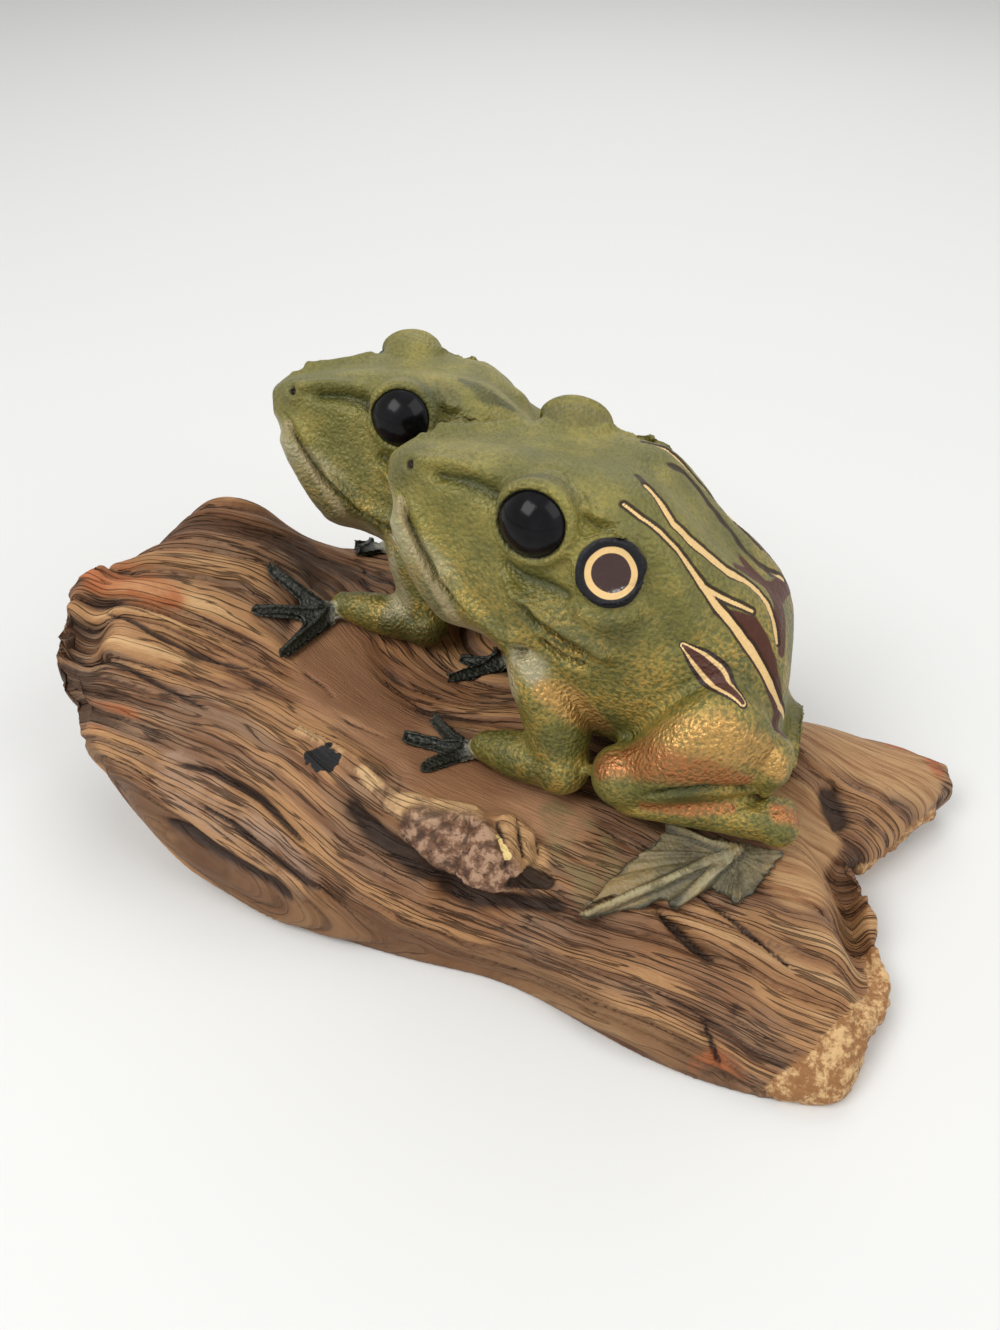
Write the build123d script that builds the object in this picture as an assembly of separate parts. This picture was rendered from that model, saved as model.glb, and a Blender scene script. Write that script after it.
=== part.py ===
from build123d import *
import math
import os

# Two painted frogs sitting side by side on a piece of driftwood.
# Millimetres, +Z up, the frogs face -X, and the wood rests on Z = 0.
# Every piece is glued or screwed to its neighbour, and nothing moves.

# Driftwood: reach in X, in Y and above the table
wood_length = 183.0
wood_depth = 150.0
wood_height = 48.0
wood_left_share = 0.486
underside_inset = 4.0
prong_height = 22.0
knot_radius = 9.0
knot_depth_below_crest = 6.0

# Joints between pieces: glue between castings, and under what lies on wood
glue_gap = 0.15
rest_gap = 0.4
mesh_tolerance = 0.1
overrun = 5.0

# Wood screws, driven from below
screw_shank_diameter = 4.0
screw_head_diameter = 8.0
screw_head_height = 3.0
screw_length = 40.0
screw_tip_length = 5.0
screw_slot_width = 1.2
screw_slot_depth = 1.4
screw_clearance = 0.3
counterbore_depth = 5.0

# Frog body, measured on the front frog
body_length = 81.0
body_height = 62.0
body_half_width = 22.5

# Eyes: round glass beads in cupped lids
eye_diameter = 12.0
eye_clearance = 0.1
lid_thickness = 1.1
lid_rim_offset = 1.6
lid_opening_margin = 0.25

# Ear drum disc behind each eye
drum_diameter = 12.2
drum_ring_width = 1.3
drum_centre_diameter = 7.4
drum_relief = 0.9
drum_recess = 0.7
drum_root = 5.0

# Nostrils
nostril_diameter = 1.3
nostril_depth = 2.0

# Forelegs
shoulder_radius = 7.2
upper_arm_radius = 6.0
elbow_radius = 5.5
forearm_radius = 4.9
wrist_radius = 3.1

# Hands and feet: thickness of skin edges, webs and digits' ridges
knuckle_reach = 5.0
edge_thickness = 1.0
web_thickness = 1.4
palm_thickness = 3.6
finger_thickness = 2.4
finger_tip_radius = 1.2
sole_thickness = 3.0
toe_thickness = 2.2
toe_tip_radius = 1.2

# Hind legs
thigh_half_height = 11.8
thigh_half_width = 8.6
knee_radius = 5.8
hip_radius = 5.6
shin_radius = 4.4
ankle_radius = 3.3
heel_radius = 3.9

# Places on a frog, as shares of the body's length ahead of the eyes, of its
# half width outwards and of its height above the seat
eye_share = (0.0, 0.622, 0.897)
drum_share = (-0.16, 0.83, 0.82)
nostril_share = (0.316, 0.16, 0.929)
snout_share = (0.377, 0.0, 0.81)
screw_share = (-0.272, 0.0, 0.0)

# Each frog: its seat as shares of the wood's length from the left end, depth
# and height, how it is turned and tipped, its size beside the front frog, and
# the places of its limbs as shares like those above; fingers and toes lie on
# the wood, so theirs have no height
front_frog = {
    "name": "front_frog",
    "seat_share": (0.54, 0.031, 0.458),
    "heading": 165.5,
    "roll": 0.0,
    "size_share": 1.0,
    "left_shares": {
        "side": 1,
        "shoulder": (-0.02, 0.62, 0.44),
        "elbow": (-0.09, 1.00, 0.12),
        "wrist": (0.10, 0.82, 0.08),
        "fingertips": ((0.27, 0.38), (0.30, 0.85), (0.22, 1.24)),
        "hip": (-0.53, 0.89, 0.26),
        "thigh_middle": (-0.41, 1.04, 0.33),
        "knee": (-0.24, 1.17, 0.19),
        "heel": (-0.59, 1.12, 0.08),
        "foot_root": (-0.51, 1.22),
        "foot_heel": (-0.62, 1.09),
        "instep": (-0.35, 1.13),
        "toe_tips": ((-0.21, 2.00), (-0.39, 1.76), (-0.53, 1.60)),
        "web_valleys": ((-0.33, 1.67), (-0.47, 1.56)),
    },
    "right_shares": {
        "side": -1,
        "shoulder": (-0.02, 0.58, 0.44),
        "elbow": (-0.10, 0.80, 0.12),
        "wrist": (0.12, 0.69, 0.08),
        "fingertips": ((0.28, 0.27), (0.27, 0.56), (0.19, 0.73)),
        "hip": (-0.47, 0.84, 0.26),
        "thigh_middle": (-0.36, 0.98, 0.33),
        "knee": (-0.22, 1.04, 0.19),
        "heel": (-0.48, 0.96, 0.11),
        "foot_root": (-0.40, 1.05),
        "foot_heel": (-0.49, 0.95),
        "instep": (-0.29, 1.00),
        "toe_tips": ((-0.15, 1.51), (-0.27, 1.56), (-0.38, 1.42)),
        "web_valleys": ((-0.23, 1.38), (-0.34, 1.40)),
    },
}
rear_frog = {
    "name": "rear_frog",
    "seat_share": (0.381, 0.308, 0.417),
    "heading": 180.0,
    "roll": 4.0,
    "size_share": 0.93,
    "left_shares": {
        "side": 1,
        "shoulder": (-0.01, 0.62, 0.44),
        "elbow": (-0.04, 0.98, 0.11),
        "wrist": (0.20, 0.78, 0.15),
        "fingertips": ((0.41, 0.58), (0.44, 1.04), (0.35, 1.51)),
        "hip": (-0.52, 0.76, 0.26),
        "thigh_middle": (-0.41, 0.76, 0.33),
        "knee": (-0.24, 0.80, 0.19),
        "heel": (-0.57, 0.82, 0.08),
        "foot_root": (-0.51, 0.82),
        "foot_heel": (-0.56, 0.67),
        "instep": (-0.53, 0.98),
        "toe_tips": ((-0.36, 1.09), (-0.33, 0.89), (-0.36, 0.67)),
        "web_valleys": ((-0.41, 0.96), (-0.41, 0.78)),
    },
    "right_shares": {
        "side": -1,
        "shoulder": (-0.02, 0.62, 0.44),
        "elbow": (-0.09, 0.96, 0.14),
        "wrist": (0.10, 0.69, 0.08),
        "fingertips": ((0.19, 0.33), (0.20, 0.58), (0.15, 0.80)),
        "hip": (-0.53, 0.84, 0.26),
        "thigh_middle": (-0.41, 0.91, 0.33),
        "knee": (-0.24, 1.00, 0.19),
        "heel": (-0.58, 0.91, 0.10),
        "foot_root": (-0.49, 0.72),
        "foot_heel": (-0.57, 0.66),
        "instep": (-0.36, 0.62),
        "toe_tips": ((-0.25, 0.95), (-0.33, 0.98), (-0.42, 0.93)),
        "web_valleys": ((-0.29, 0.88), (-0.38, 0.87)),
    },
}

# Driftwood outlines across X: share of the length, share of the height of
# the underside, then front edge, face, crest, hollow, middle, rim and back
# edge, each as shares of the depth and of the height
wood_shares = (
    (0.000, 0.62,
     (0.00, 0.66), (0.01, 0.71), (0.03, 0.76), (0.06, 0.80),
     (0.09, 0.83), (0.13, 0.84), (0.14, 0.77)),
    (0.050, 0.33,
     (-0.06, 0.42), (-0.05, 0.54), (-0.02, 0.65), (0.04, 0.74),
     (0.11, 0.83), (0.18, 0.90), (0.20, 0.77)),
    (0.115, 0.14,
     (-0.13, 0.23), (-0.13, 0.38), (-0.09, 0.54), (0.03, 0.69),
     (0.16, 0.81), (0.29, 0.96), (0.33, 0.81)),
    (0.190, 0.03,
     (-0.19, 0.12), (-0.17, 0.35), (-0.11, 0.56), (0.04, 0.60),
     (0.19, 0.73), (0.33, 0.90), (0.37, 0.69)),
    (0.268, -0.03,
     (-0.23, 0.06), (-0.19, 0.35), (-0.07, 0.58), (0.07, 0.56),
     (0.20, 0.59), (0.34, 0.65), (0.41, 0.40)),
    (0.344, -0.06,
     (-0.26, 0.04), (-0.21, 0.37), (-0.13, 0.56), (0.04, 0.48),
     (0.20, 0.50), (0.40, 0.47), (0.48, 0.22)),
    (0.432, -0.06,
     (-0.29, 0.02), (-0.26, 0.29), (-0.21, 0.52), (-0.04, 0.47),
     (0.17, 0.42), (0.41, 0.42), (0.50, 0.17)),
    (0.519, -0.06,
     (-0.33, 0.01), (-0.31, 0.23), (-0.25, 0.40), (-0.08, 0.46),
     (0.16, 0.42), (0.41, 0.40), (0.51, 0.17)),
    (0.607, -0.06,
     (-0.40, 0.01), (-0.38, 0.17), (-0.31, 0.31), (-0.11, 0.46),
     (0.16, 0.44), (0.40, 0.38), (0.49, 0.15)),
    (0.694, -0.06,
     (-0.45, 0.01), (-0.43, 0.13), (-0.37, 0.25), (-0.17, 0.42),
     (0.12, 0.44), (0.35, 0.38), (0.44, 0.15)),
    (0.760, -0.06,
     (-0.47, 0.02), (-0.45, 0.12), (-0.40, 0.22), (-0.24, 0.38),
     (0.03, 0.42), (0.24, 0.38), (0.32, 0.15)),
    (0.814, -0.05,
     (-0.45, 0.05), (-0.44, 0.12), (-0.40, 0.19), (-0.32, 0.27),
     (-0.19, 0.31), (-0.03, 0.33), (0.05, 0.15)),
    (0.863, 0.03,
     (-0.36, 0.10), (-0.355, 0.14), (-0.34, 0.18), (-0.31, 0.21),
     (-0.28, 0.21), (-0.25, 0.18), (-0.24, 0.12)),
)

# Back prong outlines: share of the wood's length, near side, far side (shares
# of the depth), and lowest and highest (shares of the prong's height)
prong_shares = (
    (0.700, -0.10, 0.14, 0.05, 0.72),
    (0.800, -0.21, 0.09, -0.10, 0.96),
    (0.885, -0.16, 0.05, -0.05, 0.90),
    (0.950, -0.09, 0.03, 0.03, 0.72),
    (1.000, -0.04, 0.01, 0.22, 0.50),
)

# Knot on the crest: share of the wood's length and of its depth
knot_share = (0.487, -0.215)

# Body outlines across the frog's X: share of the length behind the snout,
# then back, brow, cheek, jaw, throat side and throat, each as a share of the
# half width and of the height
body_shares = (
    (0.000, (0.00, 0.897), (0.07, 0.890), (0.11, 0.865), (0.12, 0.832), (0.07, 0.808), (0.00, 0.800)),
    (0.037, (0.00, 0.929), (0.20, 0.918), (0.27, 0.847), (0.29, 0.768), (0.19, 0.718), (0.00, 0.694)),
    (0.117, (0.00, 0.956), (0.34, 0.942), (0.43, 0.806), (0.48, 0.653), (0.32, 0.548), (0.00, 0.516)),
    (0.228, (0.00, 0.973), (0.43, 0.958), (0.57, 0.774), (0.67, 0.581), (0.44, 0.444), (0.00, 0.387)),
    (0.377, (0.00, 0.976), (0.47, 0.968), (0.73, 0.790), (0.87, 0.532), (0.62, 0.306), (0.00, 0.194)),
    (0.525, (0.00, 0.952), (0.51, 0.935), (0.87, 0.790), (0.98, 0.516), (0.76, 0.226), (0.00, 0.050)),
    (0.648, (0.00, 0.868), (0.56, 0.839), (0.89, 0.677), (1.00, 0.419), (0.80, 0.161), (0.00, -0.030)),
    (0.772, (0.00, 0.710), (0.58, 0.677), (0.87, 0.548), (0.98, 0.339), (0.80, 0.129), (0.00, -0.050)),
    (0.877, (0.00, 0.605), (0.51, 0.573), (0.80, 0.452), (0.91, 0.274), (0.76, 0.097), (0.00, -0.040)),
    (0.944, (0.00, 0.355), (0.36, 0.331), (0.60, 0.258), (0.71, 0.161), (0.58, 0.048), (0.00, -0.016)),
    (1.000, (0.00, 0.145), (0.18, 0.134), (0.31, 0.105), (0.38, 0.073), (0.27, 0.032), (0.00, 0.016)),
)

# Limbs, as shares of a part's run and of its radius
forearm_shares = ((0.0, 0.90), (0.45, 1.00), (1.0, 0.64))
thigh_shares = ((0.0, 0.55), (0.2, 0.87), (0.5, 1.00), (0.78, 0.86), (1.0, 0.52))
elbow_end_share = 0.8

# Rings of a hand or foot, as shares of the way from its root to its edge
ring_shares = (0.33, 0.67, 1.0)

# Edge of the palm between the fingers, as a share of the way to their tips,
# and beside the outer fingers, as a share of the palm's reach
finger_valley_share = 0.36
palm_side_share = 0.75

# Ways that the eyes and the ear drums face: ahead, outwards, up
eye_gaze_share = (0.12, 0.95, 0.22)
drum_face_share = (-0.05, 0.88, 0.47)


def toward(a, b, share):
    """Point at a share of the way from a to b."""
    return tuple(start + share * (end - start) for start, end in zip(a, b))


def closed_face(points):
    return make_face(Spline(*points, periodic=True))


def spread(points, gap):
    """Moves each point of an open outline in a YZ plane outwards by gap."""
    moved = []
    for i, (x, y, z) in enumerate(points):
        before = points[max(i - 1, 0)]
        after = points[min(i + 1, len(points) - 1)]
        along_y = after[1] - before[1]
        along_z = after[2] - before[2]
        run = math.hypot(along_y, along_z)
        moved.append((x, y - gap * along_z / run, z + gap * along_y / run))
    return moved


def ball(centre, radius):
    return Pos(*centre) * Sphere(radius)


def end_ball(start, end, radius):
    """Ball at the end of a limb, with its poles on the limb's line."""
    return Plane(origin=end, z_dir=Vector(*end) - Vector(*start)) * Sphere(radius)


def taper(start, end, start_radius, end_radius):
    """Round cone between two points."""
    axis = Vector(*end) - Vector(*start)
    seat = Plane(origin=start, z_dir=axis)
    rise = (Align.CENTER, Align.CENTER, Align.MIN)
    return seat * Cone(start_radius, end_radius, axis.length, align=rise)


def spindle(start, end, stations):
    """Round limb between two points: stations are (share of the run, radius)."""
    axis = Vector(*end) - Vector(*start)
    rings = []
    for share, radius in stations:
        rings.append(Plane(origin=toward(start, end, share), z_dir=axis) * Circle(radius))
    return loft(rings)


# Driftwood

def wood_x(share):
    """Place along the wood at a share of its length from the left end."""
    return (share - wood_left_share) * wood_length


def wood_section(row, gap):
    x = wood_x(row[0])
    low = row[1] * wood_height
    points = [(x, y * wood_depth, z * wood_height) for y, z in row[2:]]
    front = (x, points[0][1] + underside_inset * row_inset(row), low)
    back = (x, points[-1][1] - underside_inset * row_inset(row), low)
    upper = spread([front] + points + [back], gap)
    return make_face([Spline(*upper), Line(upper[-1], upper[0])])


def row_inset(row):
    """Share of the full inset, less on the narrow outlines at the ends."""
    width = (row[-1][0] - row[2][0]) * wood_depth
    return min(1, width / wood_height)


def wood_trunk(gap):
    return loft([wood_section(row, gap) for row in wood_shares])


def wood_prong(gap):
    faces = []
    for along, near, far, low, high in prong_shares:
        x = wood_x(along)
        middle_y = (near + far) * wood_depth / 2
        middle_z = (low + high) * prong_height / 2
        half_y = (far - near) * wood_depth / 2 + gap
        half_z = (high - low) * prong_height / 2 + gap
        ring = Plane(origin=(x, middle_y, middle_z), x_dir=(0, 1, 0), z_dir=(1, 0, 0))
        faces.append(ring * Ellipse(half_y, half_z))
    return loft(faces)


wood_body = wood_trunk(0)
prong_body = wood_prong(0)
wood_space = wood_trunk(glue_gap) + wood_prong(glue_gap)


spots = {}


def wood_spot(x, y):
    """Place on the wood's upper surface, and the way that the surface faces."""
    if (x, y) not in spots:
        sky = (x, y, wood_height + body_height)
        ray = Axis(sky, (0, 0, -1))
        hits = wood_body.find_intersection_points(ray) + prong_body.find_intersection_points(ray)
        point, normal = max(hits, key=lambda hit: hit[0].Z)
        spots[x, y] = (point, normal if normal.Z > 0 else normal * -1)
    return spots[x, y]


def above_wood(x, y, lift):
    """Point at a distance above the wood's surface, square to it."""
    point, normal = wood_spot(x, y)
    return tuple(point + normal * lift)


def knot():
    x = wood_x(knot_share[0])
    y = knot_share[1] * wood_depth
    return ball(above_wood(x, y, -knot_depth_below_crest), knot_radius)


def below_table():
    low = (Align.CENTER, Align.CENTER, Align.MAX)
    return Box(wood_length + overrun, wood_depth + overrun, wood_height, align=low)


# Frog places

def frog_place(frog):
    along, across, up = frog["seat_share"]
    seat = Pos(wood_x(along), across * wood_depth, up * wood_height)
    return seat * Rot(0, 0, frog["heading"]) * Rot(frog["roll"], 0, 0)


def on_frog(place, side):
    """Place on the front frog's size of body, from its shares."""
    along, out, up = place
    return (along * body_length, side * out * body_half_width, up * body_height)


def world(frog, point):
    """Place on the wood of a point given on the frog's own axes."""
    size = frog["size_share"]
    moved = frog_place(frog) * Pos(point[0] * size, point[1] * size, point[2] * size)
    return tuple(moved.position)


def limb_point(limb, name):
    return on_frog(limb[name], limb["side"])


def wood_place(frog, limb, place):
    """Place on the table of a point given ahead of the eyes and outwards."""
    along, out = place
    x, y, _ = world(frog, on_frog((along, out, 0), limb["side"]))
    return x, y


# Frog body

def body_outline(row):
    x = (snout_share[0] - row[0]) * body_length
    left = [(x, y * body_half_width, z * body_height) for y, z in row[1:]]
    right = [(x, -y, z) for _, y, z in left[-2:0:-1]]
    return left + right


def gaze(side):
    forward, out, up = eye_gaze_share
    return (forward, side * out, up)


def eye_plane(side):
    return Plane(origin=on_frog(eye_share, side), z_dir=gaze(side))


def lid(side, bead_radius):
    return ball(on_frog(eye_share, side), bead_radius + lid_thickness)


def eye_opening(side, bead_radius):
    rise = (Align.CENTER, Align.CENTER, Align.MIN)
    mouth = Cylinder(bead_radius + lid_opening_margin, bead_radius + overrun, align=rise)
    return eye_plane(side) * Pos(0, 0, lid_rim_offset) * mouth


def drum_plane(side):
    backward, out, up = drum_face_share
    return Plane(origin=on_frog(drum_share, side), z_dir=(backward, side * out, up))


def drum_disc(side):
    sunk = (Align.CENTER, Align.CENTER, Align.MAX)
    disc = Cylinder(drum_diameter / 2, drum_relief + drum_root, align=sunk)
    ring_hole = Cylinder(drum_diameter / 2 - drum_ring_width, drum_recess, align=sunk)
    centre = Cylinder(drum_centre_diameter / 2, drum_recess / 2 + drum_root, align=sunk)
    shape = disc - ring_hole + Pos(0, 0, -drum_recess / 2) * centre
    return drum_plane(side) * Pos(0, 0, drum_relief) * shape


def nostril(side):
    x, y, z = on_frog(nostril_share, side)
    return taper((x, y, z - nostril_depth), (x, y, z + overrun), nostril_diameter / 4, nostril_diameter)


def body_core(frog):
    bead_radius = eye_diameter / 2 / frog["size_share"]
    core = loft([closed_face(body_outline(row)) for row in body_shares])
    for side in (1, -1):
        core += lid(side, bead_radius)
        core += drum_disc(side)
    for side in (1, -1):
        core -= ball(on_frog(eye_share, side), bead_radius + eye_clearance)
        core -= eye_opening(side, bead_radius)
        core -= nostril(side)
    return core


# Limbs on the frog's own axes; grow makes the space that a limb needs

def foreleg(limb, grow):
    shoulder = limb_point(limb, "shoulder")
    elbow = limb_point(limb, "elbow")
    wrist = limb_point(limb, "wrist")
    upper = taper(shoulder, elbow, shoulder_radius + grow, upper_arm_radius * elbow_end_share + grow)
    knob = ball(elbow, elbow_radius + grow)
    stations = [(share, forearm_radius * fat + grow) for share, fat in forearm_shares]
    forearm = spindle(elbow, wrist, stations)
    return upper + knob + forearm + end_ball(elbow, wrist, wrist_radius + grow)


def thigh(limb, grow):
    """Oval thigh on a bowed line from the hip over its middle to the knee."""
    hip = limb_point(limb, "hip")
    middle = limb_point(limb, "thigh_middle")
    knee = limb_point(limb, "knee")
    faces = []
    for share, fat in thigh_shares:
        start, top, end = (1 - share) * (1 - 2 * share), 4 * share * (1 - share), share * (2 * share - 1)
        centre = tuple(start * hip[i] + top * middle[i] + end * knee[i] for i in range(3))
        ring = Plane(origin=centre, x_dir=(0, 1, 0), z_dir=(1, 0, 0))
        faces.append(ring * Ellipse(thigh_half_width * fat + grow, thigh_half_height * fat + grow))
    return loft(faces)


def hind_leg(limb, grow):
    knee = limb_point(limb, "knee")
    heel = limb_point(limb, "heel")
    leg = thigh(limb, grow) + ball(limb_point(limb, "hip"), hip_radius + grow)
    leg += ball(knee, knee_radius + grow)
    shin_top = (knee[0], knee[1], (knee[2] + heel[2]) / 2)
    leg += taper(shin_top, heel, shin_radius + grow, ankle_radius + grow)
    return leg + end_ball(shin_top, heel, heel_radius + grow)


# Pieces shaped in place on the wood

def splayed(root, rim, root_thickness, ridge, grow):
    """Thin skin on the wood from a root out to a rim, raised along its digits.

    Each rim entry is a point and whether a digit's ridge runs out to it.
    """
    rim = sorted(rim, key=lambda entry: math.atan2(entry[0][1] - root[1], entry[0][0] - root[0]))
    spots_out = [root]
    tops = [root_thickness]
    for (x, y), raised in rim:
        reach_share = 1 + grow / math.dist(root, (x, y))
        for share in ring_shares:
            spots_out.append(toward(root, (x, y), share * reach_share))
            inner = ridge if raised else web_thickness
            tops.append(inner if share < 1 or raised else edge_thickness)
    low = [above_wood(x, y, rest_gap - grow) for x, y in spots_out]
    high = [above_wood(*spot, rest_gap + top + grow) for spot, top in zip(spots_out, tops)]
    rings = len(ring_shares)
    faces = []
    for i in range(len(rim)):
        here = 1 + i * rings
        after = 1 + (i + 1) % len(rim) * rings
        flats = [(0, here, after)]
        for ring in range(rings - 1):
            flats.append((here + ring, here + ring + 1, after + ring + 1))
            flats.append((here + ring, after + ring + 1, after + ring))
        for a, b, c in flats:
            faces.append((high[a], high[b], high[c]))
            faces.append((low[b], low[a], low[c]))
        here += rings - 1
        after += rings - 1
        faces.append((low[here], low[after], high[after]))
        faces.append((low[here], high[after], high[here]))
    flats = [Face(Wire.make_polygon([Vector(*c) for c in corners], close=True)) for corners in faces]
    return Solid(Shell(flats))


def digit_rim(root, tip, radius):
    """Rim entries round the tip of a finger or toe."""
    reach = math.dist(root, tip)
    ahead = ((tip[0] - root[0]) / reach * radius, (tip[1] - root[1]) / reach * radius)
    before = (tip[0] + ahead[1], tip[1] - ahead[0])
    after = (tip[0] - ahead[1], tip[1] + ahead[0])
    front = (tip[0] + ahead[0], tip[1] + ahead[1])
    return [(before, False), (front, True), (after, False)]


def hand_root(frog, limb):
    """Middle of the palm on the table, and the way from it to the wrist."""
    wrist = world(frog, limb_point(limb, "wrist"))
    tip = wood_place(frog, limb, limb["fingertips"][1])
    reach = math.dist(wrist[:2], tip)
    ahead = [(tip[i] - wrist[i]) / reach * knuckle_reach for i in (0, 1)]
    return (wrist[0] + ahead[0], wrist[1] + ahead[1]), (-ahead[0], -ahead[1])


def hand(frog, limb, grow):
    root, back = hand_root(frog, limb)
    tips = [wood_place(frog, limb, place) for place in limb["fingertips"]]
    rim = [(root[0] + back[0], root[1] + back[1])]
    for turn in (1, -1):
        side = (-back[1] * turn * palm_side_share, back[0] * turn * palm_side_share)
        rim.append((root[0] + side[0], root[1] + side[1]))
    for first, second in zip(tips, tips[1:]):
        middle = toward(first, second, 0.5)
        rim.append(toward(root, middle, finger_valley_share))
    rim = [(place, False) for place in rim]
    for tip in tips:
        rim += digit_rim(root, tip, finger_tip_radius)
    return splayed(root, rim, palm_thickness, finger_thickness, grow)


def foot(frog, limb, grow):
    root = wood_place(frog, limb, limb["foot_root"])
    rim = [wood_place(frog, limb, place) for place in limb["web_valleys"]]
    rim += [wood_place(frog, limb, limb[name]) for name in ("instep", "foot_heel")]
    rim = [(place, False) for place in rim]
    for place in limb["toe_tips"]:
        rim += digit_rim(root, wood_place(frog, limb, place), toe_tip_radius)
    return splayed(root, rim, sole_thickness, toe_thickness, grow)


def screw_axis(frog):
    x, y, _ = world(frog, on_frog(screw_share, 1))
    return x, y


def screw(frog):
    x, y = screw_axis(frog)
    rise = (Align.CENTER, Align.CENTER, Align.MIN)
    radius = screw_shank_diameter / 2
    shank = Cylinder(radius, screw_length - screw_tip_length, align=rise)
    tip = Pos(0, 0, screw_length - screw_tip_length) * Cone(radius, radius / 4, screw_tip_length, align=rise)
    head = Cylinder(screw_head_diameter / 2, screw_head_height, align=rise)
    slot = Box(screw_head_diameter + overrun, screw_slot_width, screw_slot_depth, align=rise)
    return Pos(x, y, counterbore_depth - screw_head_height) * (shank + tip + head - slot)


def screw_space(frog):
    x, y = screw_axis(frog)
    rise = (Align.CENTER, Align.CENTER, Align.MIN)
    radius = screw_shank_diameter / 2 + screw_clearance
    head_top = counterbore_depth + screw_clearance
    bore = Cylinder(radius, counterbore_depth - screw_head_height + screw_length + overrun, align=rise)
    return Pos(x, y, 0) * (bore + Cylinder(screw_head_diameter / 2 + screw_clearance, head_top, align=rise))


# Assembly

def build_frog(frog):
    name = frog["name"]
    size = frog["size_share"]
    gap = glue_gap / size
    place = frog_place(frog)
    core = body_core(frog)
    pieces = {}
    for side_name in ("left", "right"):
        limb = frog[f"{side_name}_shares"]
        arm = place * scale(foreleg(limb, 0), by=size) - wood_space
        pieces[f"{name}_{side_name}_foreleg"] = arm - hand(frog, limb, glue_gap)
        pieces[f"{name}_{side_name}_hind_leg"] = place * scale(hind_leg(limb, 0), by=size)
        pieces[f"{name}_{side_name}_hand"] = hand(frog, limb, 0)
        pieces[f"{name}_{side_name}_hind_foot"] = foot(frog, limb, 0)
        bead = ball(world(frog, on_frog(eye_share, limb["side"])), eye_diameter / 2)
        pieces[f"{name}_{side_name}_eye"] = bead
        core -= foreleg(limb, gap)
        core -= hind_leg(limb, gap)
    body = place * scale(core, by=size) - wood_space - screw_space(frog)
    pieces[f"{name}_body"] = body
    pieces[f"{name}_screw"] = screw(frog)
    return pieces


wood = wood_body + prong_body + knot() - below_table()
model = {}
for frog in (front_frog, rear_frog):
    model.update(build_frog(frog))
    wood -= screw_space(frog)
model["driftwood_base"] = wood


def reach(way):
    """Lowest and highest value of the model's outer points along X or Y."""
    values = []
    for piece in model.values():
        corners, _ = piece.tessellate(mesh_tolerance)
        values += [getattr(corner, way) for corner in corners]
    return min(values), max(values)


# The origin is the middle of the footprint, on the table
to_origin = Pos(-sum(reach("X")) / 2, -sum(reach("Y")) / 2, 0)
print("moved by", to_origin.position)

os.makedirs("parts", exist_ok=True)
for name, piece in model.items():
    export_step(to_origin * piece, f"parts/{name}.step")
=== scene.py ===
import math
from functools import partial

import bmesh
import bpy
import numpy as np
from mathutils import Matrix, Vector
from mathutils.bvhtree import BVHTree


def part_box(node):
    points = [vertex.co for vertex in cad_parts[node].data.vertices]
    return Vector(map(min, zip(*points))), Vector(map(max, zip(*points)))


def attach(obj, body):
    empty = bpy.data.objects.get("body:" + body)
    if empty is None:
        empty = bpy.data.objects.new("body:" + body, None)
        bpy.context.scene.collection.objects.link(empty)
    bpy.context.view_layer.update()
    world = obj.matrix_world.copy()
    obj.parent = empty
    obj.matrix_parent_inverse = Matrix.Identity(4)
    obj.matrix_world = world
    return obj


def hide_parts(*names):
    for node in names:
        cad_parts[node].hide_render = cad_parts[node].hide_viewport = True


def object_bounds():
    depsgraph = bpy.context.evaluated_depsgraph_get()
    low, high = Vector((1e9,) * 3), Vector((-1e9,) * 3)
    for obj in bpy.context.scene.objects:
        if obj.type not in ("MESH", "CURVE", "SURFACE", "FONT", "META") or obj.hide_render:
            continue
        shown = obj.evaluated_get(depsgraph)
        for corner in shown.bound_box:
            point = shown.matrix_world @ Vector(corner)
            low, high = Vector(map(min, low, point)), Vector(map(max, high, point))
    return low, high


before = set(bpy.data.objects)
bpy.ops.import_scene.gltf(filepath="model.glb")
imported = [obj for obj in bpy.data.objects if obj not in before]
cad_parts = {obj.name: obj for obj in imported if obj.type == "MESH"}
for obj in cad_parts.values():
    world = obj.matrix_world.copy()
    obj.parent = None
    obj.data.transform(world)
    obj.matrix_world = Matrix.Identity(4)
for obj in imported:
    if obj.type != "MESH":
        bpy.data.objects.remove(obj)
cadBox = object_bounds()
mm = 0.001

# the photograph's view, in millimetres from the ornament's origin
view = {
    "place": (-2.6, -174.5, 182.0),
    "tiltDown": 40.0,
    "focalPixels": 1150.0,
    "picture": (1000, 1330),
    "sensor": 36.0,
}


def addObject(name, data):
    piece = bpy.data.objects.new(name, data)
    bpy.context.scene.collection.objects.link(piece)
    return piece


def makeCamera():
    camera = bpy.data.cameras.new("camera")
    camera.sensor_fit = "VERTICAL"
    camera.sensor_height = view["sensor"]
    camera.lens = view["focalPixels"] * view["sensor"] / view["picture"][1]
    camera.clip_start = 0.01
    camera.clip_end = 10
    holder = addObject("camera", camera)
    holder.location = Vector(view["place"]) * mm
    holder.rotation_euler = (math.radians(90 - view["tiltDown"]), 0, 0)
    bpy.context.scene.camera = holder


def pixelRay(x, y):
    # start and direction, in mm, of the line of sight through a pixel of the photograph
    width, height = view["picture"]
    tilt = math.radians(view["tiltDown"])
    right = (x - width / 2) / view["focalPixels"]
    up = (height / 2 - y) / view["focalPixels"]
    ahead = Vector((0, math.cos(tilt), -math.sin(tilt)))
    above = Vector((0, math.sin(tilt), math.cos(tilt)))
    return Vector(view["place"]), (ahead + above * up + Vector((right, 0, 0))).normalized()


# noise on arrays of points, seeded, so each run gives the same wood and paint

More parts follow.
